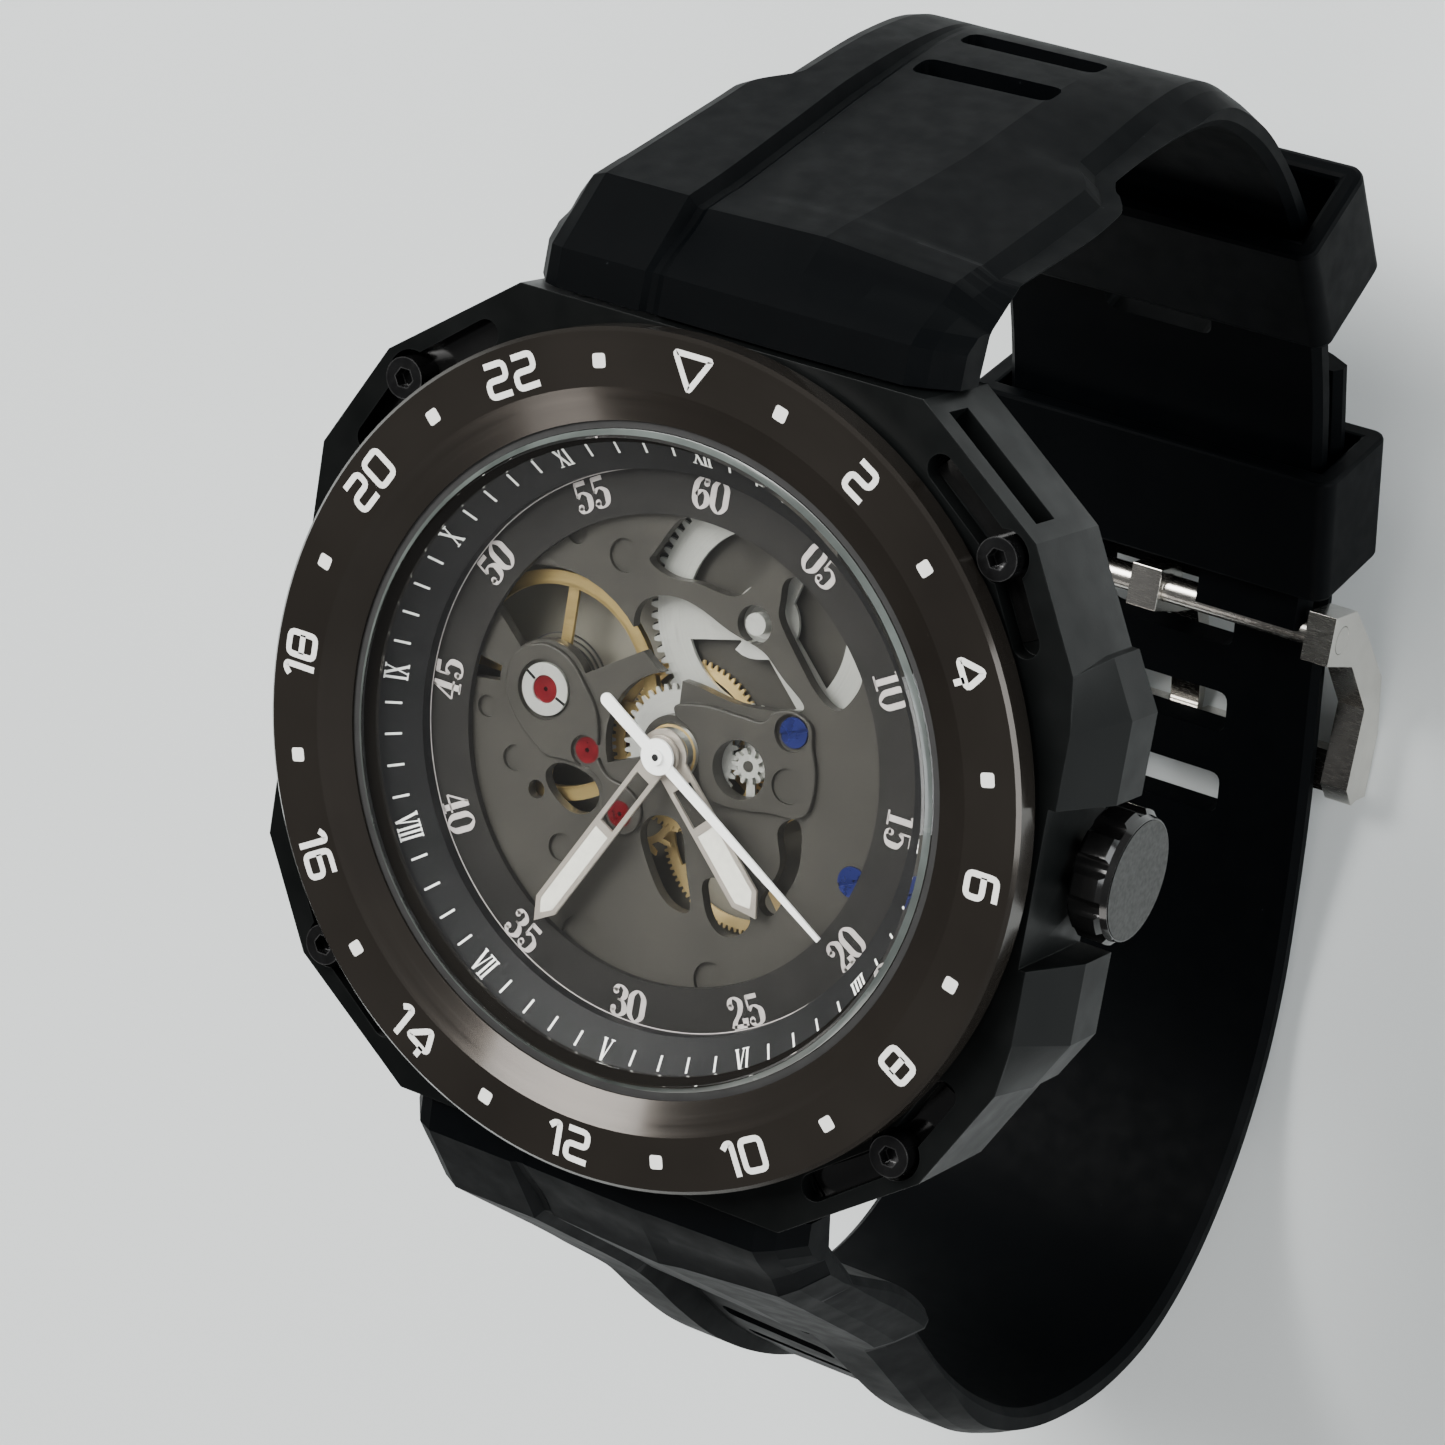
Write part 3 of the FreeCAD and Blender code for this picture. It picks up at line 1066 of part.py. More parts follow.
def make_strap():
    upper = feature("UpperStrap", strap_shape(UPPER_OUTER, UPPER_INNER, 3, 1))
    edge = curve_through(UPPER_INNER[3:])
    tools = bar_room(1)
    for i, distance in enumerate((10.2, 15.0)):
        tools.append(across(f"UpperVent{i}", edge, distance, 2.0, 8.4, 12))
    tools.append(across("UpperSlot", edge, 42.0, 2.4, 7.0, 12))
    pin = bar_along_x("BucklePinRoom", 0.85 + d.bar_play, 40, d.buckle_pin_y, d.buckle_pin_z)
    notch = box("TangNotch", 6.8, 7.0, 12, 0, 0.1, -54)
    tools += [pin, notch]
    end = bar_along_x("UpperEnd", 1.4, d.strap_narrow, d.buckle_pin_y, d.buckle_pin_z)
    keep(cut("StrapUpper", fuse("UpperSolid", [upper, end]), tools), "strap_upper")

    lower = feature("LowerStrap", strap_shape(LOWER_OUTER, LOWER_INNER, 3, -1))
    edge = curve_through(LOWER_INNER[3:])
    tools = bar_room(-1)
    for i, distance in enumerate((11.2, 15.6, 20.0)):
        tools.append(across(f"LowerVent{i}", edge, distance, 1.9, 7.4, 12))
    pitch = number(d.slot_pitch)
    for i in range(5):
        long = d.tang_slot if i == 2 else d.slot_long
        at = edge.Length - 7.2 - pitch * i - (1.0 if i > 2 else 0.0)
        tools.append(across(f"StrapSlot{i}", edge, at, long.value, d.slot_wide.value, 8))
    keep(cut("StrapLower", lower, tools), "strap_lower")
    bars = []
    for side in (1, -1):
        bars.append(bar_along_x(f"StrapBar{side}", d.bar_rad, d.bar_long, side * d.bar_y, d.bar_z))
    keep(group("StrapBars", bars), "strap_bars")


def make_keeper(label, y, z, lean, long, inside_low, inside_high, width):
    """A strap loop: a rounded rectangular ring round both layers."""
    wall = number(d.keeper_wall)
    outer = Part.makeBox(width + 2 * wall, long, inside_high - inside_low + 2 * wall,
                         FreeCAD.Vector(-width / 2 - wall, -long / 2, inside_low - wall))
    outer = outer.makeFillet(1.0, [e for e in outer.Edges if abs(e.tangentAt(e.FirstParameter).y) > 0.99])
    corner = FreeCAD.Vector(-width / 2, -long / 2 - 1, inside_low)
    hole = Part.makeBox(width, long + 2, inside_high - inside_low, corner)
    rotation = FreeCAD.Rotation(FreeCAD.Vector(1, 0, 0), lean)
    keep(feature(label.title().replace("_", ""), outer.cut(hole), 0, y, z, rotation), label)


def make_buckle():
    """The pin buckle: a bar in the strap end, a hinged frame and a tang."""
    pin_y, pin_z = number(d.buckle_pin_y), number(d.buckle_pin_z)
    half = number(d.buckle_x)
    keep(bar_along_x("BucklePin", 0.85, 2 * half, d.buckle_pin_y, d.buckle_pin_z), "buckle_pin")
    side = [
        (2.0, -46.2), (-1.0, -46.2), (-1.7, -50.2), (-5.0, -53.6), (-10.2, -53.4), (-11.4, -54.6),
        (-10.8, -56.6), (-7.0, -56.6), (-3.2, -55.3), (-0.4, -52.2), (2.0, -49.2),
    ]
    corners = [FreeCAD.Vector(0, y, z) for y, z in side]
    plate = Part.Face(Part.makePolygon(corners + corners[:1]))
    cheeks = []
    for x in (half - 1.8, -half):
        cheek = plate.extrude(FreeCAD.Vector(1.8, 0, 0))
        cheek.translate(FreeCAD.Vector(x, 0, 0))
        cheeks.append(cheek)
    rail = Part.makeBox(2 * half, 2.6, 1.5, FreeCAD.Vector(-half, -11.2, -56.6))
    pin_hole = Part.makeCylinder(0.88, 40, FreeCAD.Vector(-20, pin_y, pin_z), FreeCAD.Vector(1, 0, 0))
    room = number(d.tang_wide) + 0.6
    notch = Part.makeBox(room, 5, 1.0, FreeCAD.Vector(-room / 2, -13, -56.65))
    frame = cheeks[0].fuse([cheeks[1], rail]).cut([pin_hole, notch])
    keep(feature("BuckleFrame", frame.removeSplitter()), "buckle_frame")
    half_tang = number(d.tang_wide) / 2
    path = [
        (pin_y + 1.3, pin_z + 1.3), (pin_y - 1.3, pin_z + 1.3), (-1.5, -49.8), (-1.75, -52.75), (-4.9, -54.7),
        (-8.4, -55.75), (-10.8, -55.85), (-10.8, -56.5), (-8.0, -56.5), (-4.2, -55.7), (-0.3, -53.4),
        (-0.1, -50.4), (pin_y + 1.3, pin_z - 1.3),
    ]
    corners = [FreeCAD.Vector(-half_tang, y, z) for y, z in path]
    tang = Part.Face(Part.makePolygon(corners + corners[:1])).extrude(FreeCAD.Vector(2 * half_tang, 0, 0))
    keep(feature("BuckleTang", tang.cut(pin_hole)), "buckle_tang")


# ------------------------------------------------------------------ the watch
make_case()
make_bezel()
make_case_screws()
make_rings()
make_case_back()
make_crown()
make_winding_work()
make_click_spring()
make_barrel()
make_train()
make_escapement()
make_motion_work()
make_main_plate()
make_train_bridge()
make_jewels()
make_skeleton_plate()
make_plate_screws()
make_rotor()
make_hands()
make_strap()
make_keeper("keeper_fixed", 7.8, -47.8, 17.5, 8.0, -2.5, 2.8, 21.6)
make_keeper("keeper_free", 23.9, -38.1, 40.0, 7.8, -3.1, 1.9, 21.6)
make_buckle()

doc.recompute()
faults = [o.Name for o in doc.Objects if "Invalid" in o.State or "Error" in o.State]
if faults:
    raise RuntimeError(f"these objects failed: {faults}")
os.makedirs("parts", exist_ok=True)
for item in parts:
    shape = item.Shape
    if shape.isNull() or not shape.isValid() or not shape.Solids:
        raise RuntimeError(f"{item.Label} has no valid solid")
    shape.exportStep(os.path.join("parts", item.Label + ".step"))
print(len(parts), "pieces")
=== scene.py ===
import json
import math

import bmesh
import bpy
from mathutils import Matrix, Vector


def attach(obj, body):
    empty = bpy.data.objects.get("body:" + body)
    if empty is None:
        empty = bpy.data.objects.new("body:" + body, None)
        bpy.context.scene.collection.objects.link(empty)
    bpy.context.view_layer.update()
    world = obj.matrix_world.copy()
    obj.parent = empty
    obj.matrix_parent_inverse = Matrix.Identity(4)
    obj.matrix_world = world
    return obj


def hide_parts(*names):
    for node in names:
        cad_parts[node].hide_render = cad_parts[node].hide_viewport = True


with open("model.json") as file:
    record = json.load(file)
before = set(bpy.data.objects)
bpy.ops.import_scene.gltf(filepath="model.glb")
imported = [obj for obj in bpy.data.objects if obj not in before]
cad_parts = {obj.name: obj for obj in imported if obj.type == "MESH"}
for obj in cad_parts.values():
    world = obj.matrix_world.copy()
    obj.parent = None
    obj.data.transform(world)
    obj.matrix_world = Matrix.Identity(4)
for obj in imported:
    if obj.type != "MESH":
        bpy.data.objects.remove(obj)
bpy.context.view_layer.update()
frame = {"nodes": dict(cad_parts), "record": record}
MM = 0.001
SQUARE = ((-1, -1), (1, -1), (1, 1), (-1, 1))

# -------------------- camera and light

# The camera's place in metres, and the directions of its right side and its back.
CAMERA_PLACE = (0.11582, 0.07370, 0.21436)
CAMERA_RIGHT = (0.8424, 0.1566, -0.5156)
CAMERA_BACK = (0.4599, 0.2898, 0.8393)
CAMERA_LENS = 121.12
BRIGHT_SIDE = (0.62, 0.55, 0.25)
ROOM_STRENGTH = 0.42


def make_camera():
    """The camera stands above the 3 o'clock side and looks down at the dial."""
    data = bpy.data.cameras.new("Camera")
    data.lens = CAMERA_LENS
    data.sensor_width = 36
    data.clip_start = 0.01
    camera = bpy.data.objects.new("Camera", data)
    right = Vector(CAMERA_RIGHT).normalized()
    back = Vector(CAMERA_BACK).normalized()
    up = back.cross(right).normalized()
    right = up.cross(back)
    turned = Matrix((right, up, back)).transposed().to_4x4()
    camera.matrix_world = Matrix.Translation(CAMERA_PLACE) @ turned
    bpy.context.scene.collection.objects.link(camera)
    bpy.context.scene.camera = camera


def area_light(name, place, target, size, power, colour):
    """A soft rectangular lamp that faces its target."""
    data = bpy.data.lights.new(name, "AREA")
    data.shape = "RECTANGLE"
    data.size, data.size_y = size
    data.energy = power
    data.color = colour
    light = bpy.data.objects.new(name, data)
    light.location = place
    aim = Vector(target) - Vector(place)
    light.rotation_euler = aim.to_track_quat("-Z", "Y").to_euler()
    bpy.context.scene.collection.objects.link(light)


def make_world():
    """A soft room: pale above one side, dim and warm on the other."""
    world = bpy.data.worlds.new("Studio")
    bpy.context.scene.world = world
    world.use_nodes = True
    nodes, links = world.node_tree.nodes, world.node_tree.links
    nodes.clear()
    out = nodes.new("ShaderNodeOutputWorld")
    light = nodes.new("ShaderNodeBackground")
    light.inputs["Strength"].default_value = ROOM_STRENGTH
    where = nodes.new("ShaderNodeTexCoord")
    aim = nodes.new("ShaderNodeVectorMath")
    aim.operation = "DOT_PRODUCT"
    aim.inputs[1].default_value = Vector(BRIGHT_SIDE).normalized()
    ramp = nodes.new("ShaderNodeValToRGB")
    ramp.color_ramp.elements[0].position = 0.0
    ramp.color_ramp.elements[0].color = (0.12, 0.105, 0.095, 1)
    ramp.color_ramp.elements[1].position = 1.0
    ramp.color_ramp.elements[1].color = (1.0, 1.0, 1.0, 1)
    middle = ramp.color_ramp.elements.new(0.5)
    middle.color = (0.50, 0.51, 0.52, 1)
    spread = nodes.new("ShaderNodeMapRange")
    spread.inputs["From Min"].default_value = -1
    links.new(where.outputs["Generated"], aim.inputs[0])
    links.new(aim.outputs["Value"], spread.inputs["Value"])
    links.new(spread.outputs["Result"], ramp.inputs["Fac"])
    links.new(ramp.outputs["Color"], light.inputs["Color"])
    links.new(light.outputs["Background"], out.inputs["Surface"])


def make_lights():
    """The room, a key lamp above, and two weaker lamps at the crown's side and at 6 o'clock."""
    make_world()
    area_light("Key", (-0.25, 0.35, 0.55), (0, 0, 0), (0.5, 0.4), 9.0, (1.0, 0.99, 0.97))
    area_light("Side", (0.6, 0.1, 0.2), (0, 0, -0.02), (0.45, 0.45), 3.6, (0.95, 0.98, 1.0))
    area_light("Front", (0.05, -0.55, 0.35), (0, 0, 0), (0.6, 0.25), 1.9, (1.0, 0.96, 0.92))


# -------------------- materials


class Look:
    """One Principled material and the nodes that feed it."""

    def __init__(self, name, colour, rough, metal=0.0):
        self.material = bpy.data.materials.new(name)
        self.material.use_nodes = True
        self.nodes, self.links = self.material.node_tree.nodes, self.material.node_tree.links
        self.shader = self.nodes["Principled BSDF"]
        self.colour, self.rough = colour, rough
        self.shader.inputs["Base Color"].default_value = (*colour, 1)
        self.shader.inputs["Roughness"].default_value = rough
        self.shader.inputs["Metallic"].default_value = metal
        self.where = self.nodes.new("ShaderNodeTexCoord").outputs["Object"]
        self.normal = None

    def set(self, socket, value):
        """One number, the same all over, on the shader's own socket."""
        self.shader.inputs[socket].default_value = value
        return self

    def noise(self, scale, detail=3.0, stretch=None, where=None):
        """A noise value whose features are about 1 / scale metres across."""
        texture = self.nodes.new("ShaderNodeTexNoise")
        texture.inputs["Scale"].default_value = scale
        texture.inputs["Detail"].default_value = detail
        source = where or self.where
        if stretch:
            mapping = self.nodes.new("ShaderNodeMapping")
            mapping.inputs["Scale"].default_value = stretch
            self.links.new(source, mapping.inputs["Vector"])
            source = mapping.outputs["Vector"]
        self.links.new(source, texture.inputs["Vector"])
        return texture.outputs["Fac"]

    def range(self, value, low, high, start=0.3, end=0.7):
        """Values from start to end, spread over low to high."""
        node = self.nodes.new("ShaderNodeMapRange")
        node.inputs["From Min"].default_value = start
        node.inputs["From Max"].default_value = end
        node.inputs["To Min"].default_value = low
        node.inputs["To Max"].default_value = high
        self.links.new(value, node.inputs["Value"])
        return node.outputs["Result"]

    def math(self, operation, first, second=0.0):
        node = self.nodes.new("ShaderNodeMath")
        node.operation = operation
        for socket, value in zip(node.inputs, (first, second)):
            if isinstance(value, (int, float)):
                socket.default_value = value
            else:
                self.links.new(value, socket)
        return node.outputs["Value"]

    def tint(self, factor, colour):
        """Mixes colour over what the base colour already is."""
        mix = self.nodes.new("ShaderNodeMix")
        mix.data_type = "RGBA"
        base = self.shader.inputs["Base Color"]
        if base.is_linked:
            self.links.new(base.links[0].from_socket, mix.inputs[6])
        else:
            mix.inputs[6].default_value = base.default_value
        mix.inputs[7].default_value = (*colour, 1)
        self.links.new(factor, mix.inputs[0])
        self.links.new(mix.outputs[2], base)
        return self

    def vary(self, scale, amount, detail=3.0, stretch=None, where=None):
        """Lighter patches over the base colour."""
        lighter = tuple(min(1.0, c * (1 + amount) + 0.004 * amount) for c in self.colour)
        value = self.noise(scale, detail, stretch, where)
        return self.tint(self.range(value, 0.0, 1.0), lighter)

    def roughen(self, scale, spread, detail=3.0, stretch=None, where=None):
        """Roughness that differs from place to place."""
        value = self.noise(scale, detail, stretch, where)
        low, high = max(0.02, self.rough - spread), min(1.0, self.rough + spread)
        self.links.new(self.range(value, low, high), self.shader.inputs["Roughness"])
        return self

    def bump(self, scale, depth, detail=2.0, stretch=None, where=None):
        """Bumps depth metres high."""
        node = self.nodes.new("ShaderNodeBump")
        node.inputs["Strength"].default_value = 1.0
        node.inputs["Distance"].default_value = depth
        self.links.new(self.noise(scale, detail, stretch, where), node.inputs["Height"])
        if self.normal:
            self.links.new(self.normal, node.inputs["Normal"])
        self.normal = node.outputs["Normal"]
        self.links.new(self.normal, self.shader.inputs["Normal"])
        return self

    def around(self, x=0.0, y=0.0):
        """Coordinates that change only with the distance from an axis along Z."""
        shift = self.nodes.new("ShaderNodeVectorMath")
        shift.operation = "SUBTRACT"
        shift.inputs[1].default_value = (x * MM, y * MM, 0)
        self.links.new(self.where, shift.inputs[0])
        flat = self.nodes.new("ShaderNodeVectorMath")
        flat.operation = "MULTIPLY"
        flat.inputs[1].default_value = (1, 1, 0)
        self.links.new(shift.outputs[0], flat.inputs[0])
        length = self.nodes.new("ShaderNodeVectorMath")
        length.operation = "LENGTH"
        self.links.new(flat.outputs[0], length.inputs[0])
        joined = self.nodes.new("ShaderNodeCombineXYZ")
        self.links.new(length.outputs["Value"], joined.inputs[0])
        return joined.outputs["Vector"]

    def edges(self, radius, colour, strength=0.6):
        """Painted highlight: a lighter colour along the edges, in noisy patches, where the rounded normal
        leaves the flat one.
        """
        bevel = self.nodes.new("ShaderNodeBevel")
        bevel.samples = 4
        bevel.inputs["Radius"].default_value = radius
        flat = self.nodes.new("ShaderNodeNewGeometry")
        dot = self.nodes.new("ShaderNodeVectorMath")
        dot.operation = "DOT_PRODUCT"
        self.links.new(bevel.outputs["Normal"], dot.inputs[0])
        self.links.new(flat.outputs["Normal"], dot.inputs[1])
        highlight_mask = self.range(dot.outputs["Value"], strength, 0.0, 0.86, 0.995)
        patchy = self.range(self.noise(900, 4), 0.2, 1.0, 0.35, 0.6)
        return self.tint(self.math("MULTIPLY", highlight_mask, patchy), colour)


def glass_look(name, tint, index=1.5):
    """Clear crystal that lets the lamps through."""
    look = Look(name, tint, 0.0)
    look.set("Transmission Weight", 1.0).set("IOR", index)
    look.roughen(60, 0.012)
    clear = look.nodes.new("ShaderNodeBsdfTransparent")
    clear.inputs["Color"].default_value = (*tint, 1)
    path = look.nodes.new("ShaderNodeLightPath")
    mix = look.nodes.new("ShaderNodeMixShader")
    out = look.nodes["Material Output"]
    look.links.new(path.outputs["Is Shadow Ray"], mix.inputs[0])
    look.links.new(look.shader.outputs[0], mix.inputs[1])
    look.links.new(clear.outputs[0], mix.inputs[2])
    look.links.new(mix.outputs[0], out.inputs["Surface"])
    return look.material


FINE_LINES, LINE_DEPTH = 9000, 5e-7
RATCHET_AXIS, THIRD_AXIS, BALANCE_AXIS = (3.44, 7.79), (3.5, -4.2), (-8.0, 1.05)


def ground_metal(name, colour, rough, axis=(0.0, 0.0), metal=1.0):
    """Metal with fine turned lines about an axis."""
    look = Look(name, colour, rough, metal)
    rings = look.around(*axis)
    look.vary(FINE_LINES, 0.12, 2.0, None, rings).roughen(FINE_LINES * 0.6, 0.09, 2.0, None, rings)
    return look.bump(FINE_LINES, LINE_DEPTH, 2.0, None, rings).material


def make_looks():
    """Every material by name. A size such as 9000 is a noise scale: larger is finer."""
    looks = {}
    case = Look("case_black", (0.0026, 0.0031, 0.0031), 0.38)
    case.set("Specular IOR Level", 0.10).vary(140, 0.4).roughen(500, 0.06).bump(9000, 2.0e-6)
    # The case's edges get a painted highlight, a lighter colour along them.
    looks["case_black"] = case.edges(0.00014, (0.022, 0.024, 0.024), 0.4).material
    bezel = Look("bezel_black", (0.0315, 0.0272, 0.0230), 0.15, 0.68)
    rings = bezel.around()
    bezel.vary(90, 0.4).roughen(2500, 0.035, 3.0, None, rings).bump(14000, 3e-7, 2.0, None, rings)
    bezel.set("Coat Weight", 0.2).set("Coat Roughness", 0.08)
    looks["bezel_black"] = bezel.material
    looks["sapphire"] = glass_look("sapphire", (0.985, 0.995, 0.99))
    looks["gasket"] = Look("gasket", (0.015, 0.015, 0.015), 0.6).vary(800, 0.4).bump(5000, 4e-6).material
    dark = Look("dark_ring", (0.0066, 0.0066, 0.0068), 0.5, 0.0).set("Specular IOR Level", 0.12)
    looks["dark_ring"] = dark.vary(400, 0.2).roughen(3000, 0.06).bump(12000, 1e-6).material
    dial = Look("dial_taupe", (0.0105, 0.0098, 0.0090), 0.52, 0.0).set("Specular IOR Level", 0.15)
    looks["dial_taupe"] = dial.vary(500, 0.25).roughen(3000, 0.06).bump(12000, 1.5e-6).material
    plate = Look("bridge_taupe", (0.0285, 0.0265, 0.0225), 0.5, 0.15).set("Specular IOR Level", 0.22)
    looks["bridge_taupe"] = plate.vary(220, 0.3).roughen(4000, 0.07).bump(11000, 2.5e-6).material
    # The main plate under the bridges is their taupe made much lighter: painted light that makes up for the
    # shade it lies in.
    under = Look("under_plate_painted_light", (0.135, 0.125, 0.10), 0.5, 0.1).vary(220, 0.3).roughen(4000, 0.07)
    looks["under_plate_painted_light"] = under.bump(11000, 2.5e-6).material
    gun = Look("gunmetal", (0.06, 0.06, 0.06), 0.36, 0.8)
    looks["gunmetal"] = gun.vary(300, 0.3).roughen(5000, 0.08).bump(8000, 1.5e-6).material
    looks["steel"] = ground_metal("steel", (0.52, 0.52, 0.49), 0.36, metal=0.7)
    looks["ratchet_steel"] = ground_metal("ratchet_steel", (0.34, 0.34, 0.315), 0.42, RATCHET_AXIS, 0.45)
    blue = Look("blue_steel", (0.012, 0.017, 0.11), 0.3, 0.7)
    looks["blue_steel"] = blue.vary(600, 0.5).roughen(2000, 0.08).material
    looks["gilt"] = ground_metal("gilt", (0.62, 0.45, 0.19), 0.36, metal=0.7)
    # A lighter, less metallic copy of the gilt for the third and escape wheels: painted light that makes up
    # for the shade they lie in.
    looks["gilt_painted_lighter"] = ground_metal("gilt_painted_lighter", (0.72, 0.53, 0.24), 0.4, THIRD_AXIS, 0.4)
    looks["gilt_balance"] = ground_metal("gilt_balance", (0.56, 0.41, 0.17), 0.36, BALANCE_AXIS)
    ruby = Look("ruby", (0.06, 0.0005, 0.0024), 0.12).set("Coat Weight", 0.4).set("Coat Roughness", 0.04)
    looks["ruby"] = ruby.vary(1500, 0.7).roughen(900, 0.03).material
    hand = Look("hand_silver", (0.40, 0.36, 0.315), 0.34, 0.6)
    looks["hand_silver"] = hand.vary(900, 0.08).roughen(7000, 0.05).bump(9000, 3e-7).material
    second = Look("hand_white", (0.80, 0.80, 0.79), 0.35)
    looks["hand_white"] = second.vary(700, 0.1).roughen(2000, 0.08).material
    lume = Look("lume", (0.56, 0.55, 0.49), 0.75).vary(2500, 0.12).bump(9000, 6e-6, 4.0)
    looks["lume"] = lume.material
    silicone = Look("silicone", (0.0005, 0.0009, 0.0013), 0.56)
    silicone.set("Specular IOR Level", 0.05).vary(300, 0.08, 4.0)
    silicone.roughen(700, 0.05, 4.0).bump(9000, 3e-6, 3.0)
    dust = silicone.range(silicone.noise(2600, 2.0), 0.0, 0.4, 0.78, 0.84)
    looks["silicone"] = silicone.tint(dust, (0.05, 0.054, 0.058)).material
    buckle = Look("buckle_steel", (0.60, 0.58, 0.54), 0.24, 1.0)
    buckle.vary(500, 0.15).roughen(1500, 0.05, 3.0, (1, 18, 18)).bump(4000, 3e-7, 2.0, (1, 14, 14))
    looks["buckle_steel"] = buckle.material
    screw = Look("screw_head", (0.03, 0.03, 0.031), 0.2, 0.9).vary(900, 0.4).roughen(3000, 0.06)
    # The screw heads' edges get a strong painted highlight, a pale colour along them.
    looks["screw_head"] = screw.edges(0.00012, (0.33, 0.33, 0.33), 0.9).material
    white = Look("mark_white", (0.86, 0.86, 0.83), 0.5).vary(1200, 0.08).bump(9000, 3e-6)
    looks["mark_white"] = white.material
    pale = Look("mark_pale", (0.40, 0.365, 0.355), 0.5).vary(1500, 0.15).bump(9000, 3e-6)
    looks["mark_pale"] = pale.material
    crown = Look("crown_disc", (0.014, 0.0145, 0.0137), 0.38, 0.3)
    crown.set("Specular IOR Level", 0.22)
    looks["crown_disc"] = crown.vary(700, 0.3).roughen(4000, 0.1).bump(8000, 1.5e-6).material
    gloss = Look("black_gloss", (0.004, 0.004, 0.004), 0.12).vary(400, 0.4).roughen(900, 0.05)
    looks["black_gloss"] = gloss.bump(5000, 1e-6).material
    # The crystal's edge as an opaque ring: the glass edge's grey-green tint, with its brightness and lighter
    # patches a painted reflection.
    rim = Look("crystal_edge_glint", (0.055, 0.064, 0.060), 0.2).set("Coat Weight", 0.3)
    looks["crystal_edge_glint"] = rim.vary(240, 1.4, 4.0).roughen(900, 0.08).material
    floor = Look("floor", (0.75, 0.79, 0.795), 0.85).vary(6, 0.03).bump(1200, 2e-5)
    looks["floor"] = floor.material
    return looks


# -------------------- mesh helpers


def piece(name, mesh, body, look, stands_for=()):
    """A Blender piece that rides on a body."""
    thing = bpy.data.objects.new(name, mesh)
    bpy.context.scene.collection.objects.link(thing)
    mesh.materials.clear()
    mesh.materials.append(look)
    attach(thing, body)
    if stands_for:
        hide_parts(*stands_for)
    return thing


def new_mesh(name, points, faces):
    """A mesh from points in mm."""
    mesh = bpy.data.meshes.new(name)
    mesh.from_pydata([tuple(c * MM for c in p) for p in points], [], faces)
    mesh.validate()
    return mesh


def smooth(mesh, angle):
    """Smooth shading, with edges over the angle kept sharp."""
    if "custom_normal" in mesh.attributes:
        mesh.attributes.remove(mesh.attributes["custom_normal"])
    for face in mesh.polygons:
        face.use_smooth = True
    mesh.set_sharp_from_angle(angle=math.radians(angle))


# Points nearer than WELD metres are one. The angles are in degrees.
WELD = 2e-6
FLAT_ANGLE, CORNER_ANGLE = 1.0, 28
SHADE_ANGLE, STRAP_SHADE_ANGLE = 12, 6


def softened(name, node, width):
    """A CAD node's shape with its sharp edges rounded off, width in mm."""
    source = frame["nodes"][node]
    work = bmesh.new()
    work.from_mesh(source.data)
    bmesh.ops.remove_doubles(work, verts=work.verts, dist=WELD)
    bmesh.ops.dissolve_limit(work, angle_limit=math.radians(FLAT_ANGLE), verts=work.verts, edges=work.edges)
    corner = math.radians(CORNER_ANGLE)
    sharp = [e for e in work.edges if len(e.link_faces) == 2 and e.calc_face_angle(0) > corner]
    bmesh.ops.bevel(
        work, geom=sharp, offset=width * MM, segments=2, profile=0.5, affect="EDGES", clamp_overlap=True
    )
    mesh = bpy.data.meshes.new(name)
    work.to_mesh(mesh)
    work.free()
    smooth(mesh, SHADE_ANGLE)
    return mesh


# -------------------- printed marks


# How thick the printed strokes are, in mm.
MARK_DEPTH = 0.03


class Marks:
    """Flat printed strokes, each a thin ribbon whose top is at height(radius), in mm."""

    def __init__(self, height):
        self.points, self.faces, self.height = [], [], height

    def ribbon(self, path, widths, place, closed=False):
        """A stroke along a path, widths[i] wide at each point."""
        count = len(path)
        first = len(self.points)
        for i, (u, v) in enumerate(path):
            before = path[i - 1] if i or closed else path[i]
            after = path[(i + 1) % count] if i < count - 1 or closed else path[i]
            du, dv = after[0] - before[0], after[1] - before[1]
            size = math.hypot(du, dv) or 1.0
            nu, nv = -dv / size, du / size
            half = widths[i] / 2
            for side in (1, -1):
                x, y = place(u + side * half * nu, v + side * half * nv)
                self.points += [(x, y, 0.0), (x, y, -MARK_DEPTH)]
        for i in range(count if closed else count - 1):
            a = first + 4 * i
            b = first + 4 * ((i + 1) % count)
            self.faces += [(a, a + 2, b + 2, b), (a, b, b + 1, a + 1), (a + 2, a + 3, b + 3, b + 2)]
        if not closed:
            last = first + 4 * (count - 1)
            self.faces += [(first, first + 1, first + 3, first + 2), (last, last + 2, last + 3, last + 1)]

    def disc(self, u, v, radius, place):
        ring = [(u + radius * math.cos(t), v + radius * math.sin(t)) for t in turns(16)]
        self.polygon(ring, place)

    def polygon(self, ring, place):
        first = len(self.points)
        for u, v in ring:
            x, y = place(u, v)
            self.points += [(x, y, 0.0), (x, y, -MARK_DEPTH)]
        count = len(ring)
        self.faces.append(tuple(first + 2 * i for i in range(count)))
        for i in range(count):
            a, b = first + 2 * i, first + 2 * ((i + 1) % count)
            self.faces.append((a, a + 1, b + 1, b))

    def mesh(self, name):
        """All the strokes as one mesh, each point at the height for its radius."""
        placed = [(x, y, self.height(math.hypot(x, y)) + z) for x, y, z in self.points]
        return new_mesh(name, placed, self.faces)


def turns(count):
    """Evenly spaced angles round a circle."""
    return [2 * math.pi * i / count for i in range(count)]


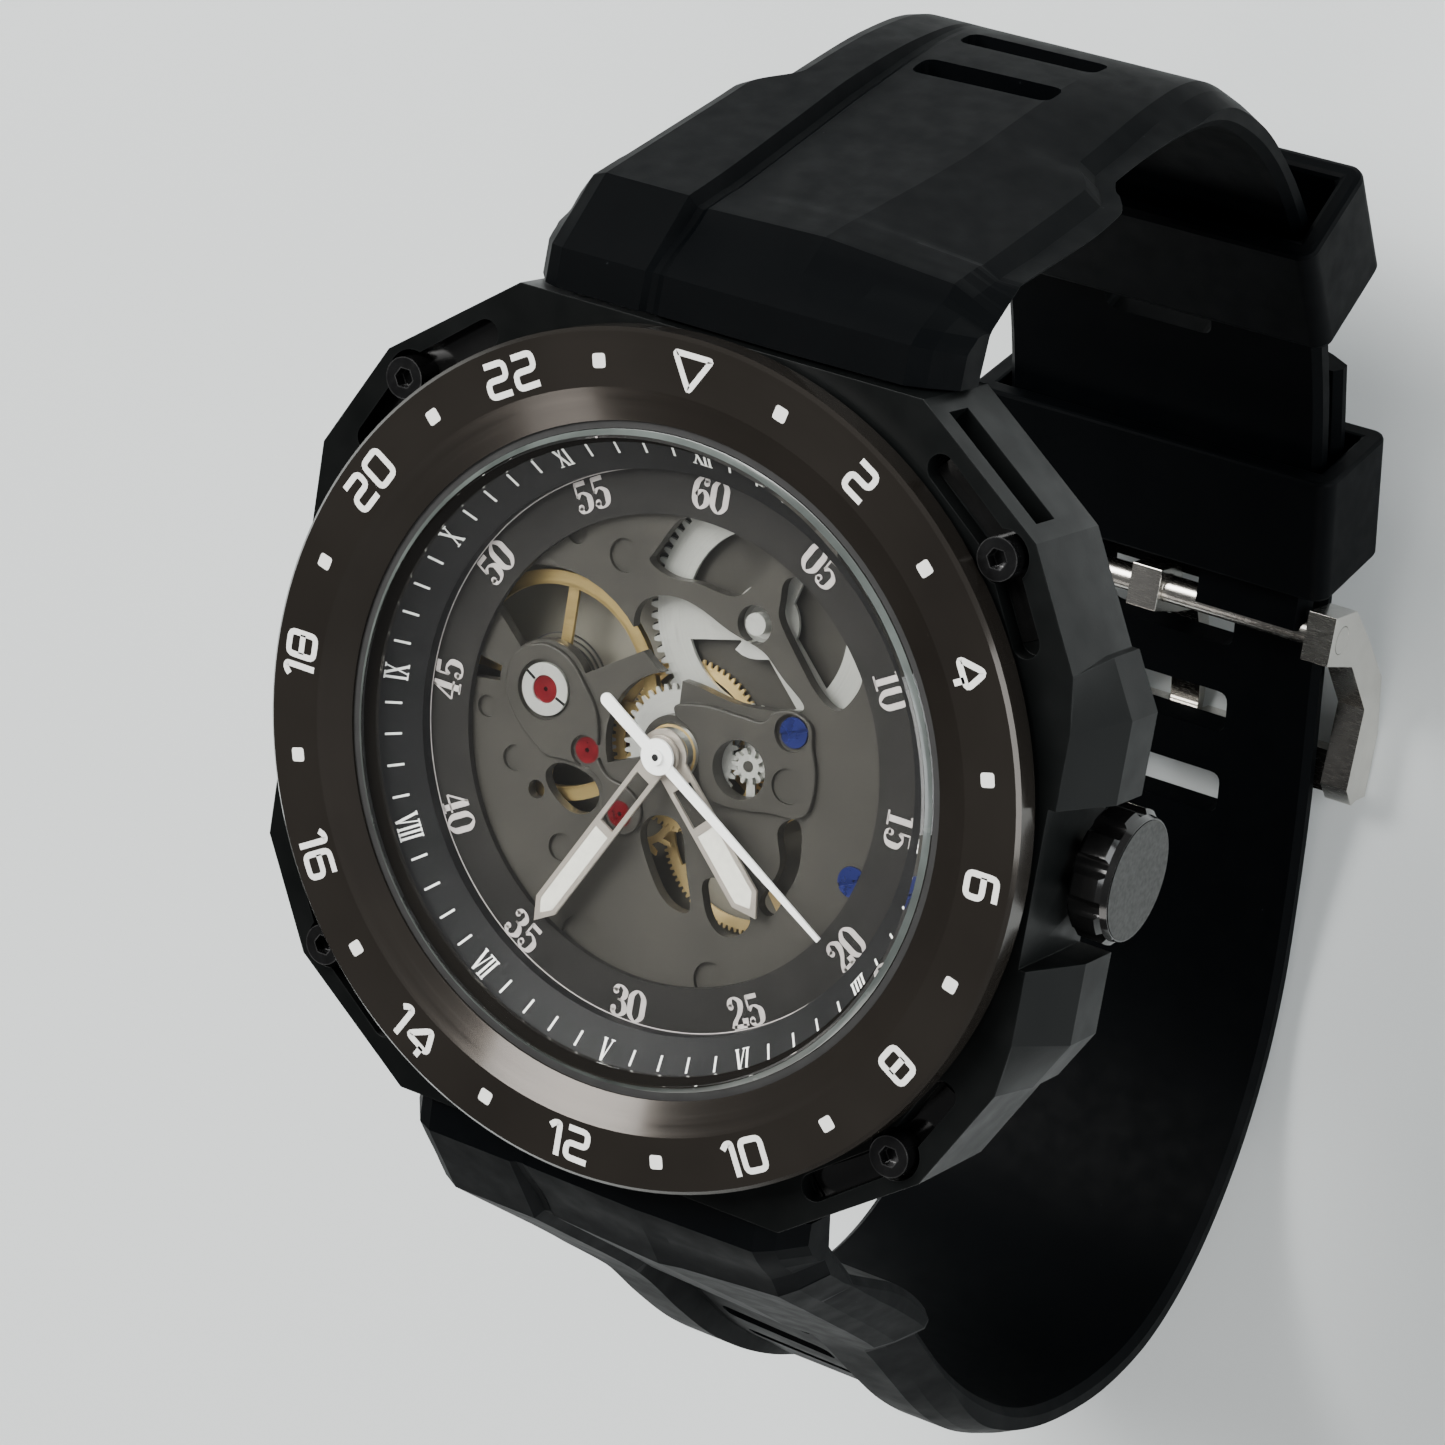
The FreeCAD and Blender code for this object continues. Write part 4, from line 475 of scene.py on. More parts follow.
def on_ring(radius, clock, outward=True, scale=1.0):
    """Places drawing coordinates at a clock angle, with their tops outward or inward."""
    angle = math.radians(90 - clock)
    out = Vector((math.cos(angle), math.sin(angle)))
    up = out if outward else -out
    right = Vector((up.y, -up.x))

    def place(u, v):
        spot = out * radius + right * u * scale + up * v * scale
        return spot.x, spot.y

    return place


def flat_place(u, v):
    """Drawing coordinates that are the watch's own x and y."""
    return u, v


def rounded(points, radius, closed=False, steps=4):
    """A polyline with its corners rounded."""
    result = []
    count = len(points)
    for i, here in enumerate(points):
        if not closed and i in (0, count - 1):
            result.append(here)
            continue
        a, b, c = Vector(points[i - 1]), Vector(here), Vector(points[(i + 1) % count])
        before, after = (a - b), (c - b)
        cut = min(radius, before.length / 2.01, after.length / 2.01)
        start, end = b + before.normalized() * cut, b + after.normalized() * cut
        for k in range(steps + 1):
            t = k / steps
            spot = start * (1 - t) ** 2 + b * 2 * t * (1 - t) + end * t * t
            result.append((spot.x, spot.y))
    return result


def curve(points, steps=6, closed=False):
    """A smooth path through points (a Catmull-Rom spline)."""
    count = len(points)
    result = []
    for i in range(count if closed else count - 1):
        around = [i + k for k in (-1, 0, 1, 2)]
        near = [points[k % count] if closed else points[min(max(k, 0), count - 1)] for k in around]
        for s in range(steps):
            t = s / steps
            weights = (
                -0.5 * t + t * t - 0.5 * t**3,
                1 - 2.5 * t * t + 1.5 * t**3,
                0.5 * t + 2 * t * t - 1.5 * t**3,
                -0.5 * t * t + 0.5 * t**3,
            )
            result.append(tuple(sum(w * p[axis] for w, p in zip(weights, near)) for axis in (0, 1)))
    if not closed:
        result.append(points[-1])
    return result


def nib_widths(path, thick, thin, closed=False):
    """Broad where the path runs up the page, fine where it runs across."""
    widths = []
    count = len(path)
    for i in range(count):
        a = path[i - 1] if i or closed else path[i]
        b = path[(i + 1) % count] if i < count - 1 or closed else path[i]
        rise, run = abs(b[1] - a[1]), abs(b[0] - a[0])
        widths.append(thin + (thick - thin) * (rise / (math.hypot(rise, run) or 1)) ** 2)
    return widths


# A digit's width and its strokes, each a path and whether it is closed. One unit is the digit's height.
BLOCK_DIGITS = {
    "0": (0.74, [([(0, 0), (0.74, 0), (0.74, 1), (0, 1)], True)]),
    "1": (0.34, [([(0, 0.84), (0.16, 1), (0.34, 1), (0.34, -0.09)], False)]),
    "2": (0.74, [([(0, 1), (0.74, 1), (0.74, 0.5), (0, 0.5), (0, 0), (0.80, 0)], False)]),
    "4": (0.86, [([(0.62, 1.05), (-0.02, 0.28), (0.94, 0.28)], True),
                 ([(0.66, 0.28), (0.66, -0.09)], False)]),
    "6": (0.74, [([(0.74, 1), (0, 1), (0, 0), (0.74, 0), (0.74, 0.55), (0.05, 0.55)], False)]),
    "8": (0.74, [([(0, 0), (0.74, 0), (0.74, 1), (0, 1)], True), ([(0.05, 0.5), (0.7, 0.5)], False)]),
}

# The same for the serif digits, with the balls at the ends of their curves.
SERIF_DIGITS = {
    "0": (0.58, [([(0.29, 0.02), (0.49, 0.2), (0.51, 0.5), (0.49, 0.8), (0.29, 0.98), (0.09, 0.8),
                   (0.07, 0.5), (0.09, 0.2)], True)], []),
    "1": (0.46, [([(0.04, 0.80), (0.14, 0.86), (0.24, 0.97)], False),
                 ([(0.24, 0.98), (0.24, 0.02)], False)], []),
    "2": (0.58, [([(0.10, 0.74), (0.18, 0.92), (0.31, 0.97), (0.47, 0.84), (0.47, 0.66), (0.36, 0.46),
                   (0.17, 0.26), (0.07, 0.06)], False),
                 ([(0.52, 0.30), (0.50, 0.07)], False)], [(0.14, 0.72)]),
    "3": (0.58, [([(0.10, 0.78), (0.20, 0.94), (0.32, 0.97), (0.46, 0.86), (0.46, 0.68), (0.36, 0.55),
                   (0.24, 0.53)], False),
                 ([(0.24, 0.53), (0.40, 0.50), (0.50, 0.36), (0.50, 0.18), (0.36, 0.04), (0.20, 0.04),
                   (0.09, 0.18)], False)], [(0.14, 0.77), (0.13, 0.22)]),
    "4": (0.60, [([(0.36, 0.97), (0.03, 0.29)], False), ([(0.40, 0.97), (0.40, 0.02)], False)], []),
    "5": (0.58, [([(0.10, 0.94), (0.10, 0.50)], False),
                 ([(0.10, 0.50), (0.22, 0.60), (0.34, 0.60), (0.49, 0.48), (0.51, 0.30), (0.46, 0.12),
                   (0.32, 0.03), (0.18, 0.05), (0.09, 0.20)], False)], [(0.14, 0.20)]),
    "6": (0.58, [([(0.47, 0.82), (0.38, 0.96), (0.27, 0.95), (0.12, 0.76), (0.08, 0.5), (0.11, 0.2),
                   (0.25, 0.03), (0.36, 0.04), (0.49, 0.18), (0.50, 0.38), (0.38, 0.54), (0.25, 0.52),
                   (0.12, 0.38)], False)], [(0.43, 0.79)]),
}

# Flat bars of the serif digits: from, to and height.
SERIF_BARS = {
    "1": [(0.02, 0.46, 0.03)], "2": [(0.07, 0.52, 0.08)], "4": [(0.02, 0.58, 0.28), (0.24, 0.56, 0.03)],
    "5": [(0.09, 0.47, 0.90)],
}

BLOCK_GAP, SERIF_GAP = 0.34, 0.05
THICK, THIN, BALL, HEAVY_BAR = 0.19, 0.055, 0.095, 0.14
# Digits whose first stroke is thin, and digits whose bar is heavy.
THIN_FIRST, HEAVY_BARS = "45", "25"


def block_text(marks, text, radius, clock, outward, height, weight):
    """Square numerals, in strokes of one weight, centred on a clock angle."""
    wide = sum(BLOCK_DIGITS[c][0] for c in text) + BLOCK_GAP * (len(text) - 1)
    shift = -wide / 2
    place = on_ring(radius, clock, outward, height)
    for letter in text:
        across, strokes = BLOCK_DIGITS[letter]
        for path, closed in strokes:
            line = rounded([(u + shift, v - 0.5) for u, v in path], 0.2, closed)
            marks.ribbon(line, [weight / height] * len(line), place, closed)
        shift += across + BLOCK_GAP


def serif_text(marks, text, radius, clock, outward, height):
    """Serif numerals, thick where a stroke runs up and fine where it runs across."""
    wide = sum(SERIF_DIGITS[c][0] for c in text) + SERIF_GAP * (len(text) - 1)
    shift = -wide / 2
    place = on_ring(radius, clock, outward, height)
    for letter in text:
        across, strokes, balls = SERIF_DIGITS[letter]
        for i, (path, closed) in enumerate(strokes):
            moved = [(u + shift, v - 0.5) for u, v in path]
            line = curve(moved, 7, closed) if len(moved) > 3 else moved
            thick = THIN if letter in THIN_FIRST and i == 0 else THICK
            marks.ribbon(line, nib_widths(line, thick, THIN, closed), place, closed)
        for u, v in balls:
            marks.disc(u + shift, v - 0.5, BALL, place)
        for low, high, v in SERIF_BARS.get(letter, []):
            bar = [(low + shift, v - 0.5), (high + shift, v - 0.5)]
            marks.ribbon(bar, [HEAVY_BAR if letter in HEAVY_BARS else THIN] * 2, place)
        shift += across + SERIF_GAP


ROMAN_WIDTHS = {"I": 0.26, "V": 0.60, "X": 0.60}
# Each stroke's start, end and width.
ROMAN_STROKES = {
    "I": [((0, 0.5), (0, -0.5), 0.13)],
    "V": [((-0.22, 0.5), (0.02, -0.5), 0.14), ((0.22, 0.5), (0.03, -0.5), 0.06)],
    "X": [((-0.22, 0.5), (0.22, -0.5), 0.14), ((0.22, 0.5), (-0.22, -0.5), 0.06)],
}
SERIF_HALF, SERIF_THICK = 0.11, 0.05


def roman_text(marks, text, radius, clock, outward, height):
    """Roman numerals, with a short serif at each end but the foot of a V."""
    wide = sum(ROMAN_WIDTHS[c] for c in text)
    shift = -wide / 2
    place = on_ring(radius, clock, outward, height)
    for letter in text:
        middle = shift + ROMAN_WIDTHS[letter] / 2
        for (u1, v1), (u2, v2), weight in ROMAN_STROKES[letter]:
            marks.ribbon([(u1 + middle, v1), (u2 + middle, v2)], [weight, weight], place)
            for u, v in ((u1, v1), (u2, v2)):
                if letter != "V" or v > 0:
                    serif = [(u + middle - SERIF_HALF, v), (u + middle + SERIF_HALF, v)]
                    marks.ribbon(serif, [SERIF_THICK, SERIF_THICK], place)
        shift += ROMAN_WIDTHS[letter]


# Heights and radii of the printed marks, in mm, and the sizes of the numerals.
BEZEL_MARK_TOP, BEZEL_MARK_RADIUS = 12.015, 20.5
BEZEL_NUMERAL, BEZEL_STROKE, TRIANGLE_STROKE, PIP_HALF = 1.62, 0.33, 0.3, 0.37
CHAPTER_INNER, CHAPTER_LOW, CHAPTER_SLOPE = 14.7, 8.25, 0.69
CHAPTER_MARK_RADIUS, CHAPTER_LINE_RADIUS = 15.95, 14.66
MINUTE_HALF, MINUTE_WIDTH, LINE_WIDTH = 0.36, 0.12, 0.05
DIAL_MARK_TOP, DIAL_MARK_RADIUS, DIAL_NUMERAL = 7.57, 13.75, 1.72
# The chapter ring has V and VI in this order.
ROMAN = {
    0: "XII", 1: "I", 2: "II", 3: "III", 4: "IIII", 5: "VI", 6: "V", 7: "VII", 8: "VIII", 9: "IX", 10: "X",
    11: "XI",
}


def make_bezel_marks(looks):
    """Even numbers from 2 to 22, square pips between them, and the triangle at 12."""
    marks = Marks(lambda r: BEZEL_MARK_TOP)
    for i in range(1, 12):
        clock = 30 * i
        outward = not 120 < clock < 245
        block_text(marks, str(2 * i), BEZEL_MARK_RADIUS, clock, outward, BEZEL_NUMERAL, BEZEL_STROKE)
    corners = [(x * PIP_HALF, y * PIP_HALF) for x, y in SQUARE]
    pip = rounded(corners, 0.16, True, 3)
    for i in range(12):
        marks.polygon(pip, on_ring(BEZEL_MARK_RADIUS, 15 + 30 * i))
    triangle = rounded([(-1.06, 0.86), (1.06, 0.86), (0, -0.92)], 0.14, True, 3)
    marks.ribbon(triangle, [TRIANGLE_STROKE] * len(triangle), on_ring(BEZEL_MARK_RADIUS, 0), True)
    piece("bezel_marks", marks.mesh("bezel_marks"), "case", looks["mark_white"])


def make_chapter_marks(looks):
    """Roman hours and minute strokes on the sloped ring, and the fine line at its foot."""
    marks = Marks(lambda r: CHAPTER_LOW + (r - CHAPTER_INNER) * CHAPTER_SLOPE + MARK_DEPTH)
    for hour, text in ROMAN.items():
        clock = 30 * hour
        roman_text(marks, text, CHAPTER_MARK_RADIUS, clock, not 100 < clock < 255, 1.0)
    for minute in range(60):
        if minute % 5:
            place = on_ring(CHAPTER_MARK_RADIUS, 6 * minute)
            marks.ribbon([(0, -MINUTE_HALF), (0, MINUTE_HALF)], [MINUTE_WIDTH] * 2, place)
    piece("chapter_marks", marks.mesh("chapter_marks"), "case", looks["mark_white"])
    ring = [(CHAPTER_LINE_RADIUS * math.cos(t), CHAPTER_LINE_RADIUS * math.sin(t)) for t in turns(180)]
    line = Marks(lambda r: DIAL_MARK_TOP)
    line.ribbon(ring, [LINE_WIDTH] * len(ring), flat_place, True)
    piece("chapter_line", line.mesh("chapter_line"), "case", looks["mark_pale"])


def make_dial_marks(looks):
    """Five-minute numerals on the flat ring."""
    marks = Marks(lambda r: DIAL_MARK_TOP)
    for i in range(12):
        text = f"{5 * i:02d}" if i else "60"
        serif_text(marks, text, DIAL_MARK_RADIUS, 30 * i, not 115 < 30 * i < 245, DIAL_NUMERAL)
    piece("dial_marks", marks.mesh("dial_marks"), "case", looks["mark_pale"])


# -------------------- strap

# The strap's routes in mm, as (y, z) from the case's side round to the buckle, like the CAD's own.
UPPER = {
    "outer": [
        (22.15, 9.5), (24.2, 9.4), (27.8, 6.3), (31.0, -4.5), (32.9, -10.5), (34.4, -16.5), (34.9, -22.0),
        (33.5, -27.2), (31.2, -31.4), (28.0, -35.6), (23.4, -40.2), (17.8, -43.7), (12.4, -46.1),
        (6.0, -48.0), (0.4, -49.0),
    ],
    "inner": [
        (22.15, 4.7), (24.6, 4.4), (26.6, 2.2), (28.3, -5.0), (30.6, -10.8), (32.2, -16.4), (32.8, -21.4),
        (31.7, -26.0), (29.6, -30.2), (26.4, -34.2), (21.9, -38.6), (16.7, -41.8), (11.6, -44.1),
        (5.5, -46.0), (0.4, -46.6),
    ],
}
LOWER = {
    "outer": [
        (-22.15, 9.5), (-24.0, 9.4), (-28.3, 5.8), (-33.0, -3.0), (-36.0, -8.2), (-39.6, -13.2),
        (-42.6, -17.8), (-45.2, -23.0), (-47.1, -28.4), (-48.0, -34.0), (-47.9, -40.2), (-46.2, -46.0),
        (-42.6, -50.6), (-37.4, -54.0), (-31.3, -56.0), (-25.0, -56.6), (-18.0, -55.9), (-11.0, -54.7),
        (-4.5, -53.1), (2.0, -51.5), (8.0, -49.9), (12.6, -48.4), (17.4, -46.5),
    ],
    "inner": [
        (-22.15, 4.7), (-24.2, 4.2), (-27.0, 0.8), (-28.9, -4.2), (-31.4, -8.5), (-35.2, -12.7),
        (-38.9, -17.2), (-42.0, -22.0), (-44.6, -27.6), (-45.8, -33.2), (-45.8, -39.4), (-44.4, -44.6),
        (-41.2, -48.9), (-36.5, -52.0), (-31.0, -53.9), (-25.0, -54.5), (-18.0, -53.9), (-11.2, -52.7),
        (-4.9, -51.2), (1.6, -49.7), (7.5, -48.0), (12.0, -46.6), (16.6, -44.8),
    ],
}
# The first corners of each route stay hard, where the strap is facetted beside the case.
HARD_CORNERS = 3
STRAP_HALF, STRAP_TAPER = 12.2, 1.8
STATIONS, SEARCH_STEPS = 240, 400
THINNEST_WALL, INNER_CHAMFER = 0.5, 0.45
# Places of the vents and slots, in mm along the inner route past its hard corners.
UPPER_VENTS, LOWER_VENTS = (10.2, 15.0), (11.2, 15.6, 20.0)
UPPER_SLOT = 42.0
TANG_NOTCH = ((-3.4, -3.4, -60), (3.4, 3.6, -44))
SLOT_PITCH, LAST_SLOT, TANG_SLOT = 5.6, 7.2, 2
STRAIGHT_STEP = 1.0


def smooth_steps(path):
    """Places along a route: straight up to the hard corners, then smooth."""
    places = []
    for i in range(HARD_CORNERS):
        a, b = Vector(path[i]), Vector(path[i + 1])
        count = max(1, round((b - a).length / STRAIGHT_STEP))
        places += [a.lerp(b, k / count) for k in range(count)]
    bend = curve(path[HARD_CORNERS - 1:], 8)[8:]
    return places + [Vector(p) for p in bend]


def rail(path):
    """The route and the distance along it at every place."""
    places = smooth_steps(path)
    runs = [0.0]
    for a, b in zip(places, places[1:]):
        runs.append(runs[-1] + (b - a).length)
    return places, runs


def on_rail(places, runs, share):
    """The place at a share of the route's length."""
    want = share * runs[-1]
    for i in range(1, len(runs)):
        if runs[i] >= want or i == len(runs) - 1:
            part = (want - runs[i - 1]) / max(runs[i] - runs[i - 1], 1e-9)
            return places[i - 1].lerp(places[i], min(max(part, 0), 1))


def ease(value, low, high):
    """0 at low, 1 at high, and smooth between."""
    t = min(max((value - low) / (high - low), 0), 1)
    return t * t * (3 - 2 * t)


def station_shares(route, total):
    """Shares of the outer route's length: evenly spaced, and one at each hard corner."""
    corners = []
    for i in range(HARD_CORNERS + 1):
        runs = zip(route["outer"][:i], route["outer"][1:i + 1])
        corners.append(sum((Vector(b) - Vector(a)).length for a, b in runs) / total)
    even = [i / STATIONS for i in range(STATIONS + 1)]
    return sorted({round(share, 5) for share in even + corners})


def strap_mesh(name, route, section, cutters):
    """One strap half: its cross section, changing along the route, joined up and pierced."""
    outer, inner = rail(route["outer"]), rail(route["inner"])
    inner_places = [on_rail(*inner, k / SEARCH_STEPS) for k in range(SEARCH_STEPS + 1)]
    work = bmesh.new()
    loops = []
    for share in station_shares(route, outer[1][-1]):
        out = on_rail(*outer, share)
        inn = min(inner_places, key=lambda place: (place - out).length)
        if share in (0.0, 1.0):
            inn = inner_places[-1] if share else inner_places[0]
        depth = (inn - out).normalized()
        wall = (inn - out).length
        loop = []
        for x, down in section(out):
            spot = out + depth * min(down, wall - THINNEST_WALL)
            loop.append(work.verts.new((x * MM, spot.x * MM, spot.y * MM)))
        half = max(x for x, down in section(out))
        flat = half - INNER_CHAMFER
        for x, up in ((half, INNER_CHAMFER), (flat, 0.0), (0.0, 0.0), (-flat, 0.0), (-half, INNER_CHAMFER)):
            spot = inn - depth * up
            loop.append(work.verts.new((x * MM, spot.x * MM, spot.y * MM)))
        loops.append(loop)
    for a, b in zip(loops, loops[1:]):
        for i in range(len(a)):
            k = (i + 1) % len(a)
            work.faces.new((a[i], a[k], b[k], b[i]))
    work.faces.new(loops[0][::-1])
    work.faces.new(loops[-1])
    bmesh.ops.recalc_face_normals(work, faces=work.faces)
    mesh = bpy.data.meshes.new(name)
    work.to_mesh(mesh)
    work.free()
    return pierced(name, mesh, cutters)


def pierced(name, mesh, cutters):
    """The mesh with the cutters' shapes taken out of it."""
    thing = bpy.data.objects.new(name + "_blank", mesh)
    scene = bpy.context.scene.collection
    scene.objects.link(thing)
    joined = bmesh.new()
    for cutter in cutters:
        joined.from_mesh(cutter)
    tool_mesh = bpy.data.meshes.new(name + "_cut")
    joined.to_mesh(tool_mesh)
    joined.free()
    tool = bpy.data.objects.new(name + "_tool", tool_mesh)
    scene.objects.link(tool)
    change = thing.modifiers.new("Pierce", "BOOLEAN")
    change.operation = "DIFFERENCE"
    change.solver = "EXACT"
    change.object = tool
    shaped = thing.evaluated_get(bpy.context.evaluated_depsgraph_get())
    result = bpy.data.meshes.new_from_object(shaped)
    result.name = name
    for gone in (thing, tool):
        bpy.data.objects.remove(gone)
    for old in [tool_mesh, mesh] + list(cutters):
        bpy.data.meshes.remove(old)
    return result


def slot_cutter(centre, along, wide, long, high=9.0, corner=0.7):
    """A round-cornered block through the strap: wide across it and long along it."""
    half_w, half_l = wide / 2, long / 2
    corners = [(-half_w, -half_l), (half_w, -half_l), (half_w, half_l), (-half_w, half_l)]
    ring = rounded(corners, corner, True)
    along = along.normalized()
    through = Vector((-along.y, along.x))
    points = []
    for side in (-1, 1):
        for x, s in ring:
            spot = centre + along * s + through * side * high / 2
            points.append((x, spot.x, spot.y))
    count = len(ring)
    faces = [tuple(range(count))[::-1], tuple(range(count, 2 * count))]
    faces += [(i, (i + 1) % count, (i + 1) % count + count, i + count) for i in range(count)]
    mesh = new_mesh("cutter", points, faces)
    work = bmesh.new()
    work.from_mesh(mesh)
    bmesh.ops.recalc_face_normals(work, faces=work.faces)
    work.to_mesh(mesh)
    work.free()
    return mesh


def box_cutter(low, high):
    """A block between two corners."""
    (x0, y0, z0), (x1, y1, z1) = low, high
    middle = Vector(((y0 + y1) / 2, (z0 + z1) / 2))
    return slot_cutter(middle, Vector((1, 0)), x1 - x0, y1 - y0, z1 - z0, 0.05)


def strap_half(out):
    """Half the strap's width at a place on its outer route, and how much of its relief shows there."""
    half = STRAP_HALF - STRAP_TAPER * ease(-out.y, 6.5, 9.5)
    return half, 0.35 + 0.65 * ease(9.5 - out.y, 0, 3.0)


def upper_section(out):
    """Places across the upper half and their depths: wing, groove, centre panel, crease, falling wing."""
    half, near = strap_half(out)
    fade = 1 - ease(-out.y, 8, 24)
    groove = -4.7 - 0.7 * ease(-out.y, -6, 10)
    crease = 2.9 + 1.1 * ease(-out.y, -8, 8)
    side = 0.45 + 0.55 * fade
    drop = 0.75 * fade * near + 0.001
    wing = 1.25 * fade * near + 0.001
    return [
        (-half, 2.2 * side), (-half + 1.3, 0.45 * side), (-half + 2.2, 0.0), (groove - 0.3, 0.0),
        (groove, drop), (groove + 0.35, drop + 0.12 * fade * near), (groove + 0.7, 0.85 * drop),
        (0.5 * (groove + crease), 0.65 * drop), (crease, 0.45 * drop),
        (0.5 * (crease + half - 2.1), 0.5 * (0.45 * drop + wing)), (half - 2.1, wing),
        (half - 1.2, wing + 0.75 * side), (half, wing + 2.1 * side),
    ]


def lower_section(out):
    """The same for the lower half, whose raised shoulder ends in a step above the vents."""
    half, near = strap_half(out)
    fade = 1 - ease(-out.y, 10, 24)
    step = ease(-out.y, 7.0, 8.0)
    sunk = 0.95 * step * (1 - ease(-out.y, 22, 30))
    groove = -5.0 + 0.5 * ease(out.y, -6, 8)
    crease = 3.0 + 1.6 * ease(-out.y, -6, 3)
    side = 0.45 + 0.55 * fade
    drop = 0.6 * fade * near + 0.001
    wing = 0.9 * fade * near + 0.001
    return [
        (-half, 2.2 * side), (-half + 1.3, 0.45 * side), (-half + 2.2, 0.0), (groove - 0.3, 0.0),
        (groove, drop + sunk), (groove + 0.35, drop + 0.1 * fade * near + sunk),
        (groove + 0.7, 0.85 * drop + sunk), (0.5 * (groove + crease), 0.6 * drop + sunk),
        (crease, 0.35 * drop + sunk),
        (crease + 1.3, 0.35 * drop + 0.3 * (wing - 0.35 * drop)), (half - 2.1, wing),
        (half - 1.2, wing + 0.75 * side), (half, wing + 2.1 * side),
    ]


def length_place(route, distance):
    """A place and direction on the inner route, a distance past its last hard corner."""
    places = curve(route["inner"][HARD_CORNERS:], 12)
    gone = 0.0
    for a, b in zip(places, places[1:]):
        a, b = Vector(a), Vector(b)
        run = (b - a).length
        if gone + run >= distance:
            return a.lerp(b, (distance - gone) / run), (b - a)
        gone += run
    return Vector(places[-1]), Vector(places[-1]) - Vector(places[-2])


def route_length(route):
    """The inner route's length past its last hard corner."""
    places = curve(route["inner"][HARD_CORNERS:], 12)
    return sum((Vector(b) - Vector(a)).length for a, b in zip(places, places[1:]))


def make_strap(looks):
    """The two moulded halves, with their vents, the tang's notch and the row of slots."""
    cutters = [slot_cutter(*length_place(UPPER, at), 8.4, 2.0) for at in UPPER_VENTS]
    cutters.append(slot_cutter(*length_place(UPPER, UPPER_SLOT), 7.0, 2.4))
    cutters.append(box_cutter(*TANG_NOTCH))
    upper = strap_mesh("strap_upper_moulded", UPPER, upper_section, cutters)
    smooth(upper, STRAP_SHADE_ANGLE)
    piece("strap_upper_moulded", upper, "case", looks["silicone"], ["strap_upper"])
    cutters = [slot_cutter(*length_place(LOWER, at), 7.4, 1.9) for at in LOWER_VENTS]
    total = route_length(LOWER)
    for i in range(5):
        at = total - LAST_SLOT - SLOT_PITCH * i - (1.0 if i > TANG_SLOT else 0.0)
        cutters.append(slot_cutter(*length_place(LOWER, at), 9.2, 4.0 if i == TANG_SLOT else 2.8))
    lower = strap_mesh("strap_lower_moulded", LOWER, lower_section, cutters)
    smooth(lower, STRAP_SHADE_ANGLE)
    piece("strap_lower_moulded", lower, "case", looks["silicone"], ["strap_lower"])


# -------------------- plate and fittings


def slab(name, outline, low, high, edge=0.08):
    """A plate with an outline in mm, its top edge eased off."""
    work = bmesh.new()
    top = [work.verts.new((x * MM, y * MM, high * MM)) for x, y in outline]
    foot = [work.verts.new((x * MM, y * MM, low * MM)) for x, y in outline]
    cap = work.faces.new(top)
    for i in range(len(top)):
        k = (i + 1) % len(top)
        work.faces.new((top[i], foot[i], foot[k], top[k]))
    work.faces.new(foot[::-1])
    bmesh.ops.recalc_face_normals(work, faces=work.faces)
    if edge:
        bmesh.ops.bevel(work, geom=list(cap.edges), offset=edge * MM, segments=2, profile=0.5, affect="EDGES")
    mesh = bpy.data.meshes.new(name)
    work.to_mesh(mesh)
    work.free()
    smooth(mesh, SHADE_ANGLE)
    return mesh


def round_outline(x, y, radius, sides=40):
    return [(x + radius * math.cos(t), y + radius * math.sin(t)) for t in turns(sides)]


def flat_ring(name, inner, outer, high, sides=72):
    """A flat ring about Z at one height."""
    points = [(*spot, high) for spot in round_outline(0, 0, inner, sides)]
    points += [(*spot, high) for spot in round_outline(0, 0, outer, sides)]
    faces = [(i, (i + 1) % sides, (i + 1) % sides + sides, i + sides) for i in range(sides)]
    return new_mesh(name, points, [f[::-1] for f in faces])


def turned_ring(name, profile, sides=144):
    """A surface turned about Z from places (radius, height)."""
    points = [(r * math.cos(t), r * math.sin(t), z) for t in turns(sides) for r, z in profile]
    step = len(profile)
    faces = []
    for i in range(sides):
        a, b = i * step, (i + 1) % sides * step
        faces += [(a + k, b + k, b + k + 1, a + k + 1) for k in range(step - 1)]
    mesh = new_mesh(name, points, [f[::-1] for f in faces])
    smooth(mesh, 60)
    return mesh


# Places on the plate are (x, y, radius) in mm, and the bridges' outlines are (x, y).
PLATE_TOP, PLATE_SINK = 7.1, 0.22
SUNK_DISCS = (
    (-4.65, 9.2, 0.9), (-9.3, -3.15, 0.7), (-5.7, -7.0, 0.75), (4.3, -11.2, 1.0), (-3.6, -11.4, 1.3),
    (-7.6, 9.6, 0.6), (-11.4, -0.9, 0.6),
)
BALANCE_COCK = (
    (-10.4, 0.9), (-10.1, 2.4), (-8.6, 3.4), (-6.9, 3.1), (-5.6, 1.9), (-4.75, 0.8), (-4.4, -0.4),
    (-4.25, -1.5), (-3.5, -2.35), (-2.3, -2.6), (-1.3, -3.3), (-1.25, -4.4), (-2.0, -5.1), (-3.2, -5.0),
    (-3.6, -4.1), (-3.75, -2.9), (-4.6, -2.35), (-6.0, -2.25), (-7.4, -2.35), (-8.6, -1.6), (-9.8, -0.5),
)
COCK_HOLES = ((-8.0, 1.05, 1.62), (-5.04, -1.44, 0.85), (-2.55, -4.18, 0.85))
